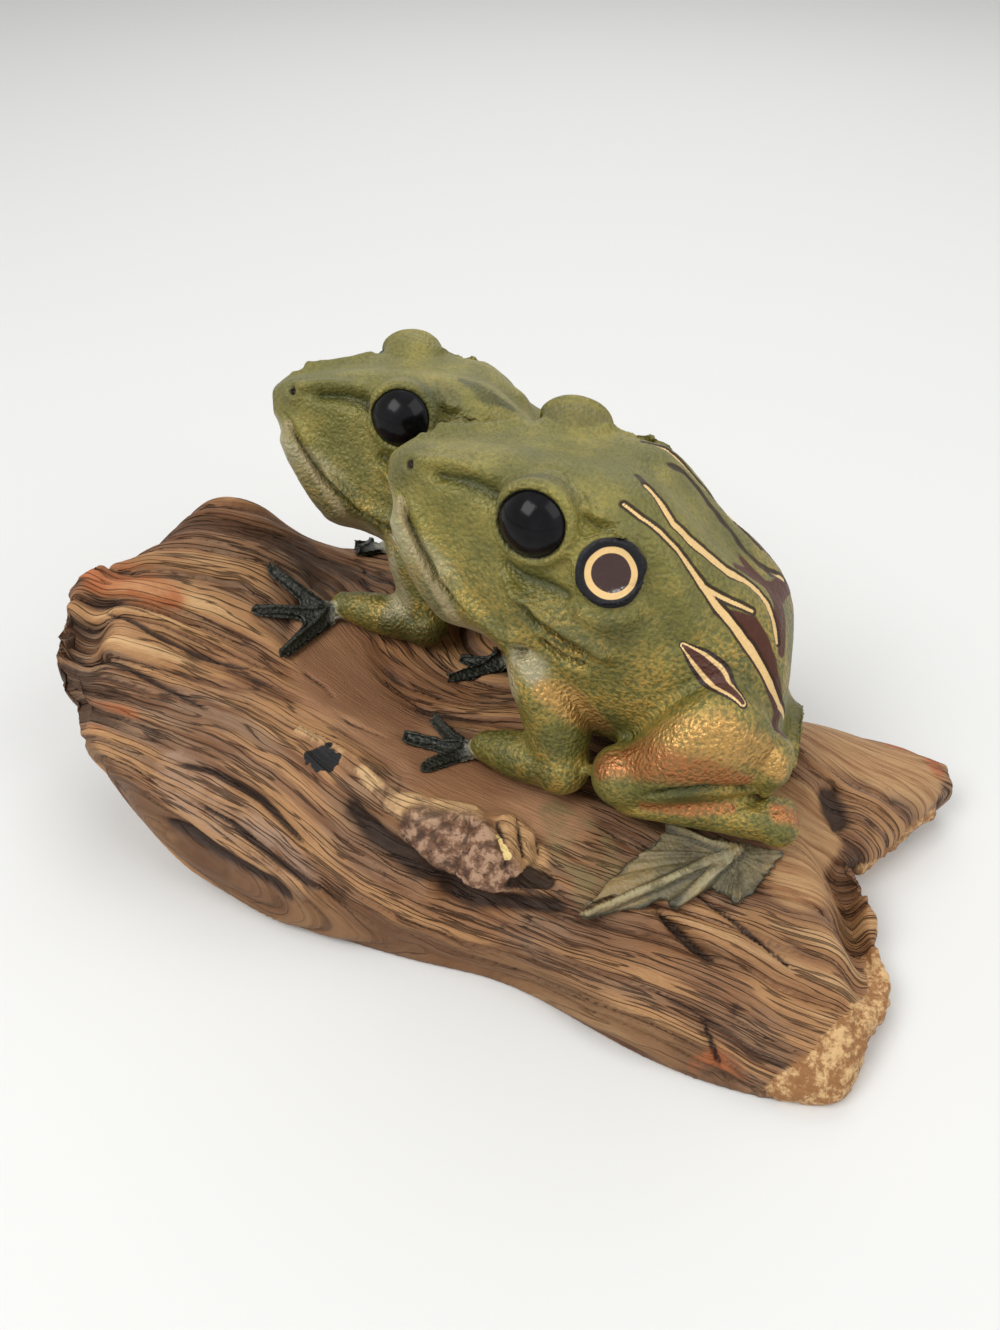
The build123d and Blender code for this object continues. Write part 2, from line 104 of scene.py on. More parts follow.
lattice = np.random.default_rng(7).random(256 ** 2)


def latticeValue(ix, iy, iz):
    # the factors only stir the lattice, so that no pattern repeats
    mixed = (ix * 73 + iy * 179 + iz * 283 + (ix * iy) % 97 * 31 + (iy * iz) % 89 * 53) % lattice.size
    return lattice[mixed]


def softNoise(points, scale):
    # smooth noise between -1 and 1; scale is the size of a bump, one number or one for each axis
    spots = points / np.asarray(scale, float) + 1000.0
    cell = np.floor(spots).astype(np.int64)
    part = spots - cell
    part = part * part * (3 - 2 * part)
    total = np.zeros(len(points))
    for step in np.ndindex(2, 2, 2):
        weight = np.where(step, part, 1 - part).prod(1)
        total += weight * latticeValue(*(cell + step).T)
    return total * 2 - 1


def noiseSum(points, rows):
    # rows: height and size of each noise
    return sum(height * softNoise(points, size) for height, size in rows)


def layeredNoise(points, scale, layers=3):
    scale = np.asarray(scale, float)
    total = np.zeros(len(points))
    for layer in range(layers):
        total += softNoise(points + layer * 31.7, scale / 2 ** layer) / 2 ** layer
    return total / (2 - 0.5 ** (layers - 1))


def ramp(values, low, high):
    part = np.clip((values - low) / (high - low), 0, 1)
    return part * part * (3 - 2 * part)


def distances(places, spot):
    return np.sqrt(((places - spot) ** 2).sum(1))


def moved(places, matrix):
    turn = np.array(matrix)
    return places @ turn[:3, :3].T + turn[:3, 3]


# meshes

def surfaceOf(piece):
    # places in mm and normals of a piece's points
    values = []
    for kind in ("co", "normal"):
        flat = np.empty(len(piece.data.vertices) * 3)
        piece.data.vertices.foreach_get(kind, flat)
        values.append(flat.reshape(-1, 3))
    return values[0] / mm, values[1]


def bareCopy(node):
    # corners in mm and faces of a CAD node, with doubled corners joined
    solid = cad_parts[node]
    corners = surfaceOf(solid)[0]
    first, back = np.unique(np.round(corners, 4), axis=0, return_index=True, return_inverse=True)[1:]
    back = back.reshape(-1)
    loops = [[int(back[i]) for i in polygon.vertices] for polygon in solid.data.polygons]
    return corners[first], [loop for loop in loops if len(set(loop)) == len(loop)]


def newMesh(name, corners, faces):
    mesh = bpy.data.meshes.new(name)
    mesh.from_pydata([tuple(c) for c in corners * mm], [], faces)
    mesh.update()
    return mesh


def swapMesh(piece, mesh):
    old = piece.data
    piece.data = mesh
    bpy.data.meshes.remove(old)


def movePoints(piece, places):
    piece.data.vertices.foreach_set("co", (places * mm).ravel())
    piece.data.update()


def bakeModifier(piece, kind, **settings):
    modifier = piece.modifiers.new("bake", kind)
    for label, value in settings.items():
        setattr(modifier, label, value)
    graph = bpy.context.evaluated_depsgraph_get()
    mesh = bpy.data.meshes.new_from_object(piece.evaluated_get(graph))
    piece.modifiers.clear()
    swapMesh(piece, mesh)


def ringShape(centre, axis, radius, thickness, around=72, across=16):
    # corners and faces of a ring of round section
    axis = Vector(axis).normalized()
    first = axis.orthogonal().normalized()
    second = axis.cross(first)
    corners, faces = [], []
    for i in range(around):
        turn = 2 * math.pi * i / around
        outward = first * math.cos(turn) + second * math.sin(turn)
        for j in range(across):
            roll = 2 * math.pi * j / across
            spot = outward * (radius + thickness * math.cos(roll)) + axis * thickness * math.sin(roll)
            corners.append(tuple(centre + spot))
            after, beside = (i + 1) % around * across, (j + 1) % across
            faces.append([i * across + j, after + j, after + beside, i * across + beside])
    return np.array(corners), faces


def mergedSkin(name, nodes, voxel, closing, smoothing, extras=()):
    # the CAD solids of some nodes as one closed skin; gaps up to twice closing, in mm, are filled
    parts = []
    for node in nodes:
        corners, faces = bareCopy(node)
        part = addObject("part", newMesh("part", corners, faces))
        parts.append((corners + surfaceOf(part)[1] * closing, faces))
        bpy.data.objects.remove(part)
    corners, faces, count = [], [], 0
    for partCorners, partFaces in (*parts, *extras):
        faces += [[i + count for i in face] for face in partFaces]
        corners.append(partCorners)
        count += len(partCorners)
    piece = addObject(name, newMesh(name, np.concatenate(corners), faces))
    bakeModifier(piece, "REMESH", mode="VOXEL", voxel_size=voxel * mm, adaptivity=0)
    dropInnerShells(piece)
    bakeModifier(piece, "SMOOTH", factor=0.5, iterations=smoothing)
    if closing:
        places, normals = surfaceOf(piece)
        movePoints(piece, places - normals * closing)
    return piece


def dropInnerShells(piece):
    # keeps the largest connected shell of a mesh
    mesh = piece.data
    ends = np.empty(len(mesh.edges) * 2, np.int64)
    mesh.edges.foreach_get("vertices", ends)
    ends = ends.reshape(-1, 2).T
    group = np.arange(len(mesh.vertices))
    while True:
        lowest = group[ends].min(0)
        fresh = group.copy()
        for end in ends:
            np.minimum.at(fresh, end, lowest)
        fresh = fresh[fresh]
        if np.array_equal(fresh, group):
            break
        group = fresh
    names, sizes = np.unique(group, return_counts=True)
    if len(names) == 1:
        return
    keep = group == names[sizes.argmax()]
    renumber = np.cumsum(keep) - 1
    faces = [[int(renumber[i]) for i in p.vertices] for p in mesh.polygons if keep[p.vertices[0]]]
    swapMesh(piece, newMesh(piece.name, surfaceOf(piece)[0][keep], faces))


def paintValues(piece, values):
    for name, numbers in values.items():
        layer = piece.data.attributes.new(name, "FLOAT", "POINT")
        layer.data.foreach_set("value", np.asarray(numbers, np.float32))


# marks drawn on a surface: routes of pixels, laid on it along the lines of sight

def surfaceTree(piece, inward=Matrix()):
    faces = [tuple(p.vertices) for p in piece.data.polygons]
    return BVHTree.FromPolygons([Vector(p) for p in moved(surfaceOf(piece)[0], inward)], faces)


def laidRoute(tree, pixels, inward=Matrix(), step=0.5):
    # points of a route on a surface; inward leads into the surface's own frame
    points = []
    for x, y in pixels:
        start, ahead = pixelRay(x, y)
        way = (inward @ (start + ahead) - inward @ start).normalized()
        hit = tree.ray_cast(inward @ start, way)[0]
        if hit is None:  # beside the outline: the nearest point
            tries = [tree.find_nearest(inward @ (start + ahead * far)) for far in range(150, 270, 3)]
            hit = min(tries, key=lambda found: found[3])[0]
        points.append(hit)
    dense = []
    for a, b in zip(points, points[1:]):
        count = max(2, int((b - a).length / step))
        dense += [a.lerp(b, i / count) for i in range(count)]
    return np.array([tuple(tree.find_nearest(p)[0]) for p in (*dense, points[-1])])


def nearRoute(places, route):
    # distance to a route, and the share of the route of its nearest point
    best = np.full(len(places), 1e9)
    share = np.zeros(len(places))
    low = route.min(0) - 15
    high = route.max(0) + 15
    near = np.where(((places > low) & (places < high)).all(1))[0]
    for i, point in enumerate(route):
        gap = ((places[near] - point) ** 2).sum(1)
        closer = gap < best[near]
        index = near[closer]
        best[index] = gap[closer]
        share[index] = i / max(1, len(route) - 1)
    return np.sqrt(best), share


def swellAt(share, sizes):
    # size at each share of a route, from a few sizes along it
    return np.interp(share, np.linspace(0, 1, len(sizes)), sizes)


def spreadOf(places, route, radii):
    # distance to a route, in half widths of the mark
    gap, share = nearRoute(places, route)
    return gap / swellAt(share, radii)


def markShare(places, lay, marks, rough=1.0, outer=1.3, inner=0.5):
    # 1 along the routes of some marks and 0 beside them
    share = np.zeros(len(places))
    for route, radii in marks:
        share = np.maximum(share, ramp(spreadOf(places, lay(route), radii) * rough, outer, inner))
    return share


def grooveShape(places, route, radii, taper, ends, widen=1.0):
    # 1 along a route and 0 beside it, lower towards its ends
    gap, share = nearRoute(places, route)
    fade = np.clip(np.minimum(share, 1 - share) * taper + ends, 0, 1)
    return np.exp(-(gap / (swellAt(share, radii) * widen)) ** 2) * fade


# frogs

sides = ("left", "right")
farAway = 9.0  # measure of a mark that is out of reach

# marks on the front frog's left side, in pixels of the photograph; they are
# carried over to its other side and to the rear frog
frogMarks = {
    "stripes": (
        (((646, 485), (660, 501), (674, 523), (691, 540), (711, 557), (728, 571), (745, 580),
            (759, 591), (769, 605), (775, 622), (778, 642)), (0.4, 0.6, 0.75, 0.8, 0.8, 0.8, 0.65, 0.4)),
        (((624, 504), (641, 518), (660, 532), (677, 549), (691, 568), (703, 586), (717, 605),
            (736, 628), (750, 647), (764, 670), (773, 689), (780, 706), (783, 728)),
            (0.25, 0.35, 0.45, 0.6, 0.75, 0.7, 0.6, 0.5, 0.4)),
        (((703, 586), (717, 594), (733, 602), (753, 611)), (0.4, 0.38, 0.3)),
    ),
    "patch": (((716, 612), (735, 618), (752, 626), (764, 650), (772, 680), (779, 710), (783, 735)),
        (0.6, 1.6, 2.3, 2.2, 2.0, 1.8, 1.2)),
    "hump": (((735, 566), (752, 574), (768, 584), (777, 600), (781, 625), (782, 650)),
        (0.8, 1.5, 2.2, 2.4, 2.2, 1.4)),
    "leaf": (((684, 646), (700, 660), (715, 675), (730, 690), (742, 702)), (0.7, 2.1, 2.7, 2.5, 1.2)),
    "stripeTip": ((638, 476), (646, 486)),
    "nostril": (410, 464),
    "drum": (611, 573),
}

# copper and gold paint on the thigh and shin; the gold on the thigh's top and on the upper arm is also a
# painted highlight: route in pixels, half widths in mm
legMarks = {
    "copper": (
        (((600, 766), (628, 760), (662, 764), (700, 771), (745, 781)), (2.4, 3.6, 3.6, 3.0, 1.8)),
        (((645, 806), (690, 809), (730, 808)), (1.4, 1.6, 1.2)),
        (((778, 812), (796, 818)), (2.0, 2.0)),
    ),
    "thighGold": (
        (((636, 750), (675, 738), (715, 736), (755, 750), (782, 770)), (2.2, 3.8, 4.6, 4.0, 2.4)),
        (((545, 690), (575, 705), (600, 725)), (2.5, 3.4, 2.6)),
    ),
}

# pale places under the mouth and on the chest: route in pixels, half widths in mm
paleMarks = {
    "jaw": ((((399, 500), (410, 535), (428, 575), (448, 608), (472, 638), (494, 660)),
        (0.8, 1.1, 1.3, 1.5, 1.9, 2.4)),),
    "throat": (
        (((496, 662), (506, 682)), (3.8, 4.2)),
        (((520, 655), (535, 672)), (3.0, 3.0)),
    ),
}

# paint on the rear frog alone, and painted shade on the underside of its arm: routes in pixels, half
# widths in mm
rearMarks = {
    "rearDark": (
        (((462, 380), (485, 398), (512, 408)), (1.2, 1.8, 1.2)),
        (((532, 396), (550, 404)), (1.2, 1.2)),
        # painted shade: the underside of the rear frog's arm is darker green
        (((395, 622), (425, 642), (455, 655)), (4.0, 5.5, 5.0)),
    ),
    "rearPale": ((((352, 555), (375, 575), (400, 598)), (3.5, 5.0, 4.0)),),
    "rearOrange": ((((568, 412), (582, 422)), (1.6, 1.6)),),
}

# bumps on the rear frog's back: pixel, rise and size in mm
rearBumps = (
    ((486, 392), 0.9, 3.0),
    ((522, 400), 1.0, 3.2),
    ((552, 416), 1.2, 3.6),
    ((578, 434), 1.6, 4.2),
)

# carved lines: route in pixels, depth in mm (a ridge's is negative), half widths
frogCreases = (
    (((399, 492), (410, 522), (420, 546), (436, 577), (461, 604), (480, 624), (498, 640), (516, 650),
        (533, 653)), 1.5, (0.45, 0.6, 0.7, 0.8)),
    (((436, 570), (461, 596), (482, 617), (504, 634), (524, 642)), -1.0, (1.0, 1.5, 1.8)),
    (((537, 640), (548, 650), (562, 660), (588, 670)), 1.5, (0.7, 0.9, 0.6)),
    (((524, 603), (537, 621), (554, 636), (574, 652), (588, 662)), 1.6, (1.0, 1.3, 1.0)),
    (((506, 580), (522, 598), (540, 611), (560, 623), (588, 640),
        (614, 659)), -1.4, (1.0, 1.5, 1.7, 1.2)),
    (((500, 560), (520, 577), (548, 588), (572, 600)), 1.0, (1.0, 1.6, 1.4)),
    (((574, 611), (596, 622), (618, 622), (640, 612)), -0.5, (1.5, 2.0, 1.6)),
    (((414, 462), (430, 461), (448, 463), (466, 467), (484, 473), (500, 482)), -0.7, (1.0, 1.3, 1.4)),
    (((430, 474), (448, 478), (468, 482), (488, 492), (496, 508)), 1.2, (1.2, 2.0, 2.0)),
    (((574, 494), (584, 506), (596, 518), (610, 522)), -0.8, (1.0, 1.3, 0.9)),
    (((583, 515), (596, 525), (612, 530), (626, 537)), 0.8, (0.7, 0.9, 0.7)),
    (((640, 575), (652, 600), (664, 625), (676, 655)), 0.5, (2.5, 3.0, 2.5)),
    (((645, 797), (669, 793), (703, 790), (739, 790), (757, 793)), 1.5, (0.7, 1.0, 1.0, 0.7)),
    (((628, 520), (650, 540), (668, 565), (684, 600), (700, 640)), -0.5, (2.0, 2.4, 2.0)),
)

# fuller or leaner places of the body, moved before the creases are carved: route, rise in mm, half widths
frogSwells = (
    (((408, 520), (424, 560), (446, 606), (474, 648), (490, 690)), 3.6, (3.0, 5.5, 7.0, 6.0)),
    (((520, 690), (555, 715), (590, 735)), 1.0, (4.0, 5.0, 4.0)),
    (((640, 500), (690, 540), (740, 600)), 0.8, (6.0, 7.0, 6.0)),
    (((764, 735), (776, 755), (775, 775)), 1.6, (3.0, 3.6, 3.0)),
    (((640, 812), (700, 815), (760, 818)), 0.8, (2.5, 3.0, 2.5)),
    (((764, 795), (775, 797), (788, 799)), 1.5, (1.7, 1.8, 1.7)),
)

# grooves and rims round the marks: rise in mm, and middle and width in the mark's own measure
frogRings = (
    ("stripe", -0.28, 1.0, 0.35),
    ("leaf", -0.2, 0.9, 0.15),
    ("nostril", -1.3, 0.0, 0.75),
    ("nostril", 0.35, 1.8, 0.8),
    ("eye", 0.35, 7.6, 0.7),
    ("drum", 0.4, 5.15, 0.6),
)

frogShape = {
    "voxel": 0.42,
    "closing": 1.0,
    "smoothing": 8,
    "beadGrowth": 1.13,
    "beadRings": 48,
    "creaseStrength": 1.65,
    "creaseEnds": (8, 0.25),  # how fast a crease ends, and what its end keeps
    "handSink": 0.22,
    "handReach": (1.2, 0.3),  # from the hand's solid: skin of the arm, of the hand
    "lumps": ((0.10, 1.6), (0.12, 7.0)),  # height and size of the casting's unevenness
    # how far the edges of the marks wander, as a share, and the size of that
    "stripeWander": ((0.18, 2.2),),
    "patchWander": ((0.15, 3.0),),
    "paintWander": ((0.15, 4.0),),
    "rearWander": ((0.3, 3.0),),
    "drumWander": ((0.03, 2.5),),
}


def frogAxes(name):
    # a frame between a frog's eyes, and the distance between them
    left, right = (sum(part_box(f"{name}_{side}_eye"), Vector()) / 2 / mm for side in sides)
    sideways = (left - right).normalized()
    ahead = sideways.cross(Vector((0, 0, 1))).normalized()
    up = ahead.cross(sideways)
    place = Matrix((ahead, sideways, up)).transposed().to_4x4()
    place.translation = (left + right) / 2
    return place, (left - right).length


frogs = {name: frogAxes(name) for name in ("front_frog", "rear_frog")}
frontPlace, frontSpan = frogs["front_frog"]
frontInward = frontPlace.inverted()


def asFrontFrog(places, place, span):
    # places of a frog, as they would be on the front frog's left side
    own = moved(places, place.inverted()) / (span / frontSpan)
    own[:, 1] = np.abs(own[:, 1])
    return own


def swellPiece(piece, place, span, tree):
    places, normals = surfaceOf(piece)
    own = asFrontFrog(places, place, span)
    move = np.zeros(len(places))
    for route, rise, radii in frogSwells:
        move += rise * np.exp(-spreadOf(own, laidRoute(tree, route, frontInward), radii) ** 2)
    movePoints(piece, places + normals * move[:, None])


def nearNodes(places, nodes, reach):
    # distance to the solids of some nodes, up to a reach
    found = np.full(len(places), reach)
    for node in nodes:
        corners, faces = bareCopy(node)
        tree = BVHTree.FromPolygons([Vector(c) for c in corners], faces)
        close = ((places > corners.min(0) - reach) & (places < corners.max(0) + reach)).all(1)
        for i in np.where(close)[0]:
            hit = tree.find_nearest(places[i], reach)
            if hit[0] is not None:
                found[i] = min(found[i], hit[3])
    return found


def wristDistance(name, places):
    # distance to the nearer wrist: the hand's corner next to its arm
    found = []
    for side in sides:
        corners = bareCopy(f"{name}_{side}_hand")[0]
        arm = bareCopy(f"{name}_{side}_foreleg")[0].mean(0)
        found.append(distances(places, corners[distances(corners, arm).argmin()]))
    return np.minimum(*found)


def carveFrog(name, piece, place, span, tree):
    places, normals = surfaceOf(piece)
    own = asFrontFrog(places, place, span)
    lay = partial(laidRoute, tree, inward=frontInward)
    marked = name == "front_frog"
    none = np.full(len(places), farAway)
    move, shade = np.zeros(len(places)), np.zeros(len(places))
    for route, depth, radii in frogCreases:
        shape = grooveShape(own, lay(route), radii, *frogShape["creaseEnds"])
        move -= depth * frogShape["creaseStrength"] * shape
        if depth > 0:
            shade = np.maximum(shade, shape * min(1, depth))

    # how far each point is from the marks: 1 is the edge of a stripe or of the leaf
    wander = {name: 1 + noiseSum(own, frogShape[f"{name}Wander"])
              for name in ("stripe", "patch", "drum", "paint", "rear")}
    stripe = nearRoute(own, lay(frogMarks["stripeTip"]))[0] * 0.6 + 1.15
    for route, radii in frogMarks["stripes"]:
        gap, share = nearRoute(own, lay(route))
        stripe = np.minimum(stripe, gap / wander["stripe"] - swellAt(share, radii) + 1)
    patch = none
    for route, radii in (frogMarks["patch"], frogMarks["hump"]):
        gap, share = nearRoute(own, lay(route))
        patch = np.minimum(patch, gap - swellAt(share, radii) * wander["patch"])
    route, radii = frogMarks["leaf"]
    nostril, drum = (distances(own, lay((frogMarks[mark],))[0]) for mark in ("nostril", "drum"))
    values = {
        "hand": nearNodes(places, [f"{name}_{side}_hand" for side in sides], 3.0),
        "palm": wristDistance(name, places),
        "stripe": np.minimum(stripe, none) if marked else none,
        "leaf": spreadOf(own, lay(route), radii),
        "nostril": nostril,
        "drum": drum * wander["drum"],
        "eye": distances(own, np.array((0.0, frontSpan / 2, 0.0))),
        "shade": shade,
        "marked": np.full(len(places), 1.0 if marked else 0.0),
        "ahead": own[:, 0],
        "out": own[:, 1],
        "up": own[:, 2],
    }
    for mark, rise, middle, width in frogRings:
        move += rise * np.exp(-((values[mark] - middle) / width) ** 2)
    values["patch"] = patch if marked else none
    if not marked:
        values["leaf"] = none

    for label, marks in (*paleMarks.items(), *legMarks.items()):
        values[label] = markShare(own, lay, marks, wander["paint"])
    layHere = None if marked else partial(laidRoute, surfaceTree(piece))
    for label, marks in rearMarks.items():
        values[label] = markShare(places, layHere, () if marked else marks, wander["rear"])
    for pixel, rise, size in () if marked else rearBumps:
        move += rise * np.exp(-(distances(places, layHere((pixel,))[0]) / size) ** 2)

    body = 1 - ramp(values["hand"], *frogShape["handReach"])
    lumps = sum(height * layeredNoise(places, size, 2) for height, size in frogShape["lumps"])
    move += lumps * (0.3 + 0.7 * body) - frogShape["handSink"] * (1 - body)
    movePoints(piece, places + normals * move[:, None])
    paintValues(piece, values)


# shader helpers; a socket knows its own tree, so most of them need no tree

def feed(value, socket):
    if isinstance(value, bpy.types.NodeSocket):
        socket.id_data.links.new(value, socket)
    else:
        socket.default_value = value


def fill(node, values):
    for label, value in values.items():
        feed(value, node.inputs[label])


def calculate(kind, first, second, clamp=False):
    tree = (first if isinstance(first, bpy.types.NodeSocket) else second).id_data
    node = tree.nodes.new("ShaderNodeMath")
    node.operation = kind
    node.use_clamp = clamp
    feed(first, node.inputs[0])
    feed(second, node.inputs[1])
    return node.outputs[0]


times = partial(calculate, "MULTIPLY")
divided = partial(calculate, "DIVIDE")
plus = partial(calculate, "ADD")
minus = partial(calculate, "SUBTRACT")
larger = partial(calculate, "MAXIMUM")


def band(value, low, high):
    # 0 below low, 1 above high; low may be the larger one
    node = value.id_data.nodes.new("ShaderNodeMapRange")
    node.interpolation_type = "SMOOTHSTEP"
    ends = (low, high, 0.0, 1.0) if low < high else (high, low, 1.0, 0.0)
    fill(node, {"Value": value, **dict(zip(("From Min", "From Max", "To Min", "To Max"), ends))})
    return node.outputs["Result"]


def linear(colour):
    # colours are written as they look on a screen, 0 to 255
    return (*(((c / 255 + 0.055) / 1.055) ** 2.4 if c > 10 else c / 255 / 12.92 for c in colour), 1.0)


def layOver(colours, base, share, paint, strength=None):
    # a paint over a base where the share is high; both are names of colours, or mixes
    node = share.id_data.nodes.new("ShaderNodeMix")
    node.data_type = "RGBA"
    feed(share if strength is None else times(share, strength), node.inputs["Factor"])
    for socket, colour in ((node.inputs[6], base), (node.inputs[7], paint)):
        feed(linear(colours[colour]) if isinstance(colour, str) else colour, socket)
    return node.outputs[2]


def coated(over, base, *layers):
    # each layer: where it lies, its paint, and its strength where that isn't full
    for layer in layers:
        base = over(base, *layer)
    return base


def newMaterial(name):
    # a material, its shader, and a way to read the values painted on a piece
    material = bpy.data.materials.new(name)
    material.use_nodes = True
    tree = material.node_tree

    def read(label):
        node = tree.nodes.new("ShaderNodeAttribute")
        node.attribute_name = label
        return node.outputs["Fac"]

    return material, tree.nodes["Principled BSDF"], read


def objectPlace(shader):
    return shader.id_data.nodes.new("ShaderNodeTexCoord").outputs["Object"]


def noiseOf(vector, scale, detail=3.0, roughness=0.55):
    node = vector.id_data.nodes.new("ShaderNodeTexNoise")
    fill(node, {"Vector": vector, "Scale": scale, "Detail": detail, "Roughness": roughness})
    return node.outputs["Fac"]


def bumpOf(shader, height, depth):
    bump = shader.id_data.nodes.new("ShaderNodeBump")
    fill(bump, {"Strength": 1.0, "Distance": depth * mm, "Height": height})
    feed(bump.outputs["Normal"], shader.inputs["Normal"])


def newGroup(name, inputs, outputs):
    # a group, what it is given and what it puts out; an input's first value is None for a vector
    group = bpy.data.node_groups.new(name, "ShaderNodeTree")
    for label, value in inputs.items():
        kind = "NodeSocketVector" if value is None else "NodeSocketFloat"
        socket = group.interface.new_socket(label, in_out="INPUT", socket_type=kind)
        if value is not None:
            socket.default_value = value
    for label in outputs:
        group.interface.new_socket(label, in_out="OUTPUT", socket_type="NodeSocketFloat")
    return group, group.nodes.new("NodeGroupInput").outputs, group.nodes.new("NodeGroupOutput")


def placeGroup(shader, group, values):
    node = shader.id_data.nodes.new("ShaderNodeGroup")
    node.node_tree = group
    fill(node, values)
    return node.outputs


def makeHammeredPaint():
    # lumps of thick metallic paint: a height, and the places where gold dust catches
    inputs = {"Place": None, "Lump Size": 1.1, "Dust": 0.5}
    group, given, result = newGroup("hammeredPaint", inputs, ("Height", "Gold", "Cloud"))
    place = given["Place"]
    scale = divided(1000.0, given["Lump Size"])
    cells = group.nodes.new("ShaderNodeTexVoronoi")
    cells.feature = "SMOOTH_F1"
    fill(cells, {"Vector": place, "Scale": scale, "Smoothness": 0.6})
    height = minus(noiseOf(place, scale, 2.0, 0.5), times(cells.outputs["Distance"], 0.45))
    cloud = noiseOf(place, 90.0)
    dusty = plus(times(height, 0.7), times(noiseOf(place, 420.0, 4.0, 0.7), 0.5))
    caught = times(band(dusty, 0.3, 0.62), band(cloud, 0.35, 0.65))
    fill(result, {"Height": height, "Gold": times(caught, given["Dust"], clamp=True), "Cloud": cloud})
    return group


hammeredPaint = makeHammeredPaint()

frogColours = {
    "green": (101, 97, 39),
    "paleGreen": (131, 124, 57),
    "deepGreen": (56, 60, 25),
    "jaw": (166, 150, 112),
    "gold": (182, 144, 70),
    "grey": (172, 164, 132),
    "cream": (233, 196, 136),
    "darkEdge": (42, 27, 18),
    "brown": (74, 38, 24),
    "drumBrown": (50, 20, 12),
    "copper": (164, 108, 64),
    # gold paint with a painted highlight, for the thigh's top and the upper arm
    "thighGold": (190, 146, 86),
    "orange": (190, 120, 62),
    "black": (24, 24, 28),
    "handDark": (46, 48, 40),
    "handGrey": (150, 148, 132),
    "footGrey": (98, 90, 64),
    "footPale": (146, 132, 94),
    "footWarm": (142, 114, 70),
    "footDark": (68, 56, 40),
    "paleGrey": (176, 166, 126),
    # painted shade in the crevice where the lid meets the eye bead
    "lid": (52, 50, 26),
    "bead": (6, 6, 8),
    "beadCloud": (22, 21, 25),
    "zinc": (120, 120, 122),
    "zincPale": (176, 176, 174),
}

# where each coat of a mark, and the painted shade round the eyes, begins and where it is full, in the
# mark's own measure
markEdges = {
    "stripeDark": (1.75, 1.45),
    "stripeCream": (1.12, 0.96),
    "leafDark": (1.12, 1.02),
    "leafCream": (0.80, 0.70),
    "leafBrown": (0.50, 0.40),
    "drumBlack": (6.15, 5.8),
    "drumCream": (4.45, 4.3),
    "drumBrown": (3.35, 3.2),
    "drumGloss": (3.4, 3.2),
    # painted shade in the crevice where the lid meets the eye bead
    "lid": (7.25, 6.85),
    "cuff": (2.2, 1.5),
    "fingers": (1.35, 0.9),
    "fingersPale": (8.2, 5.6),
    "nostril": (1.1, 0.7),
}


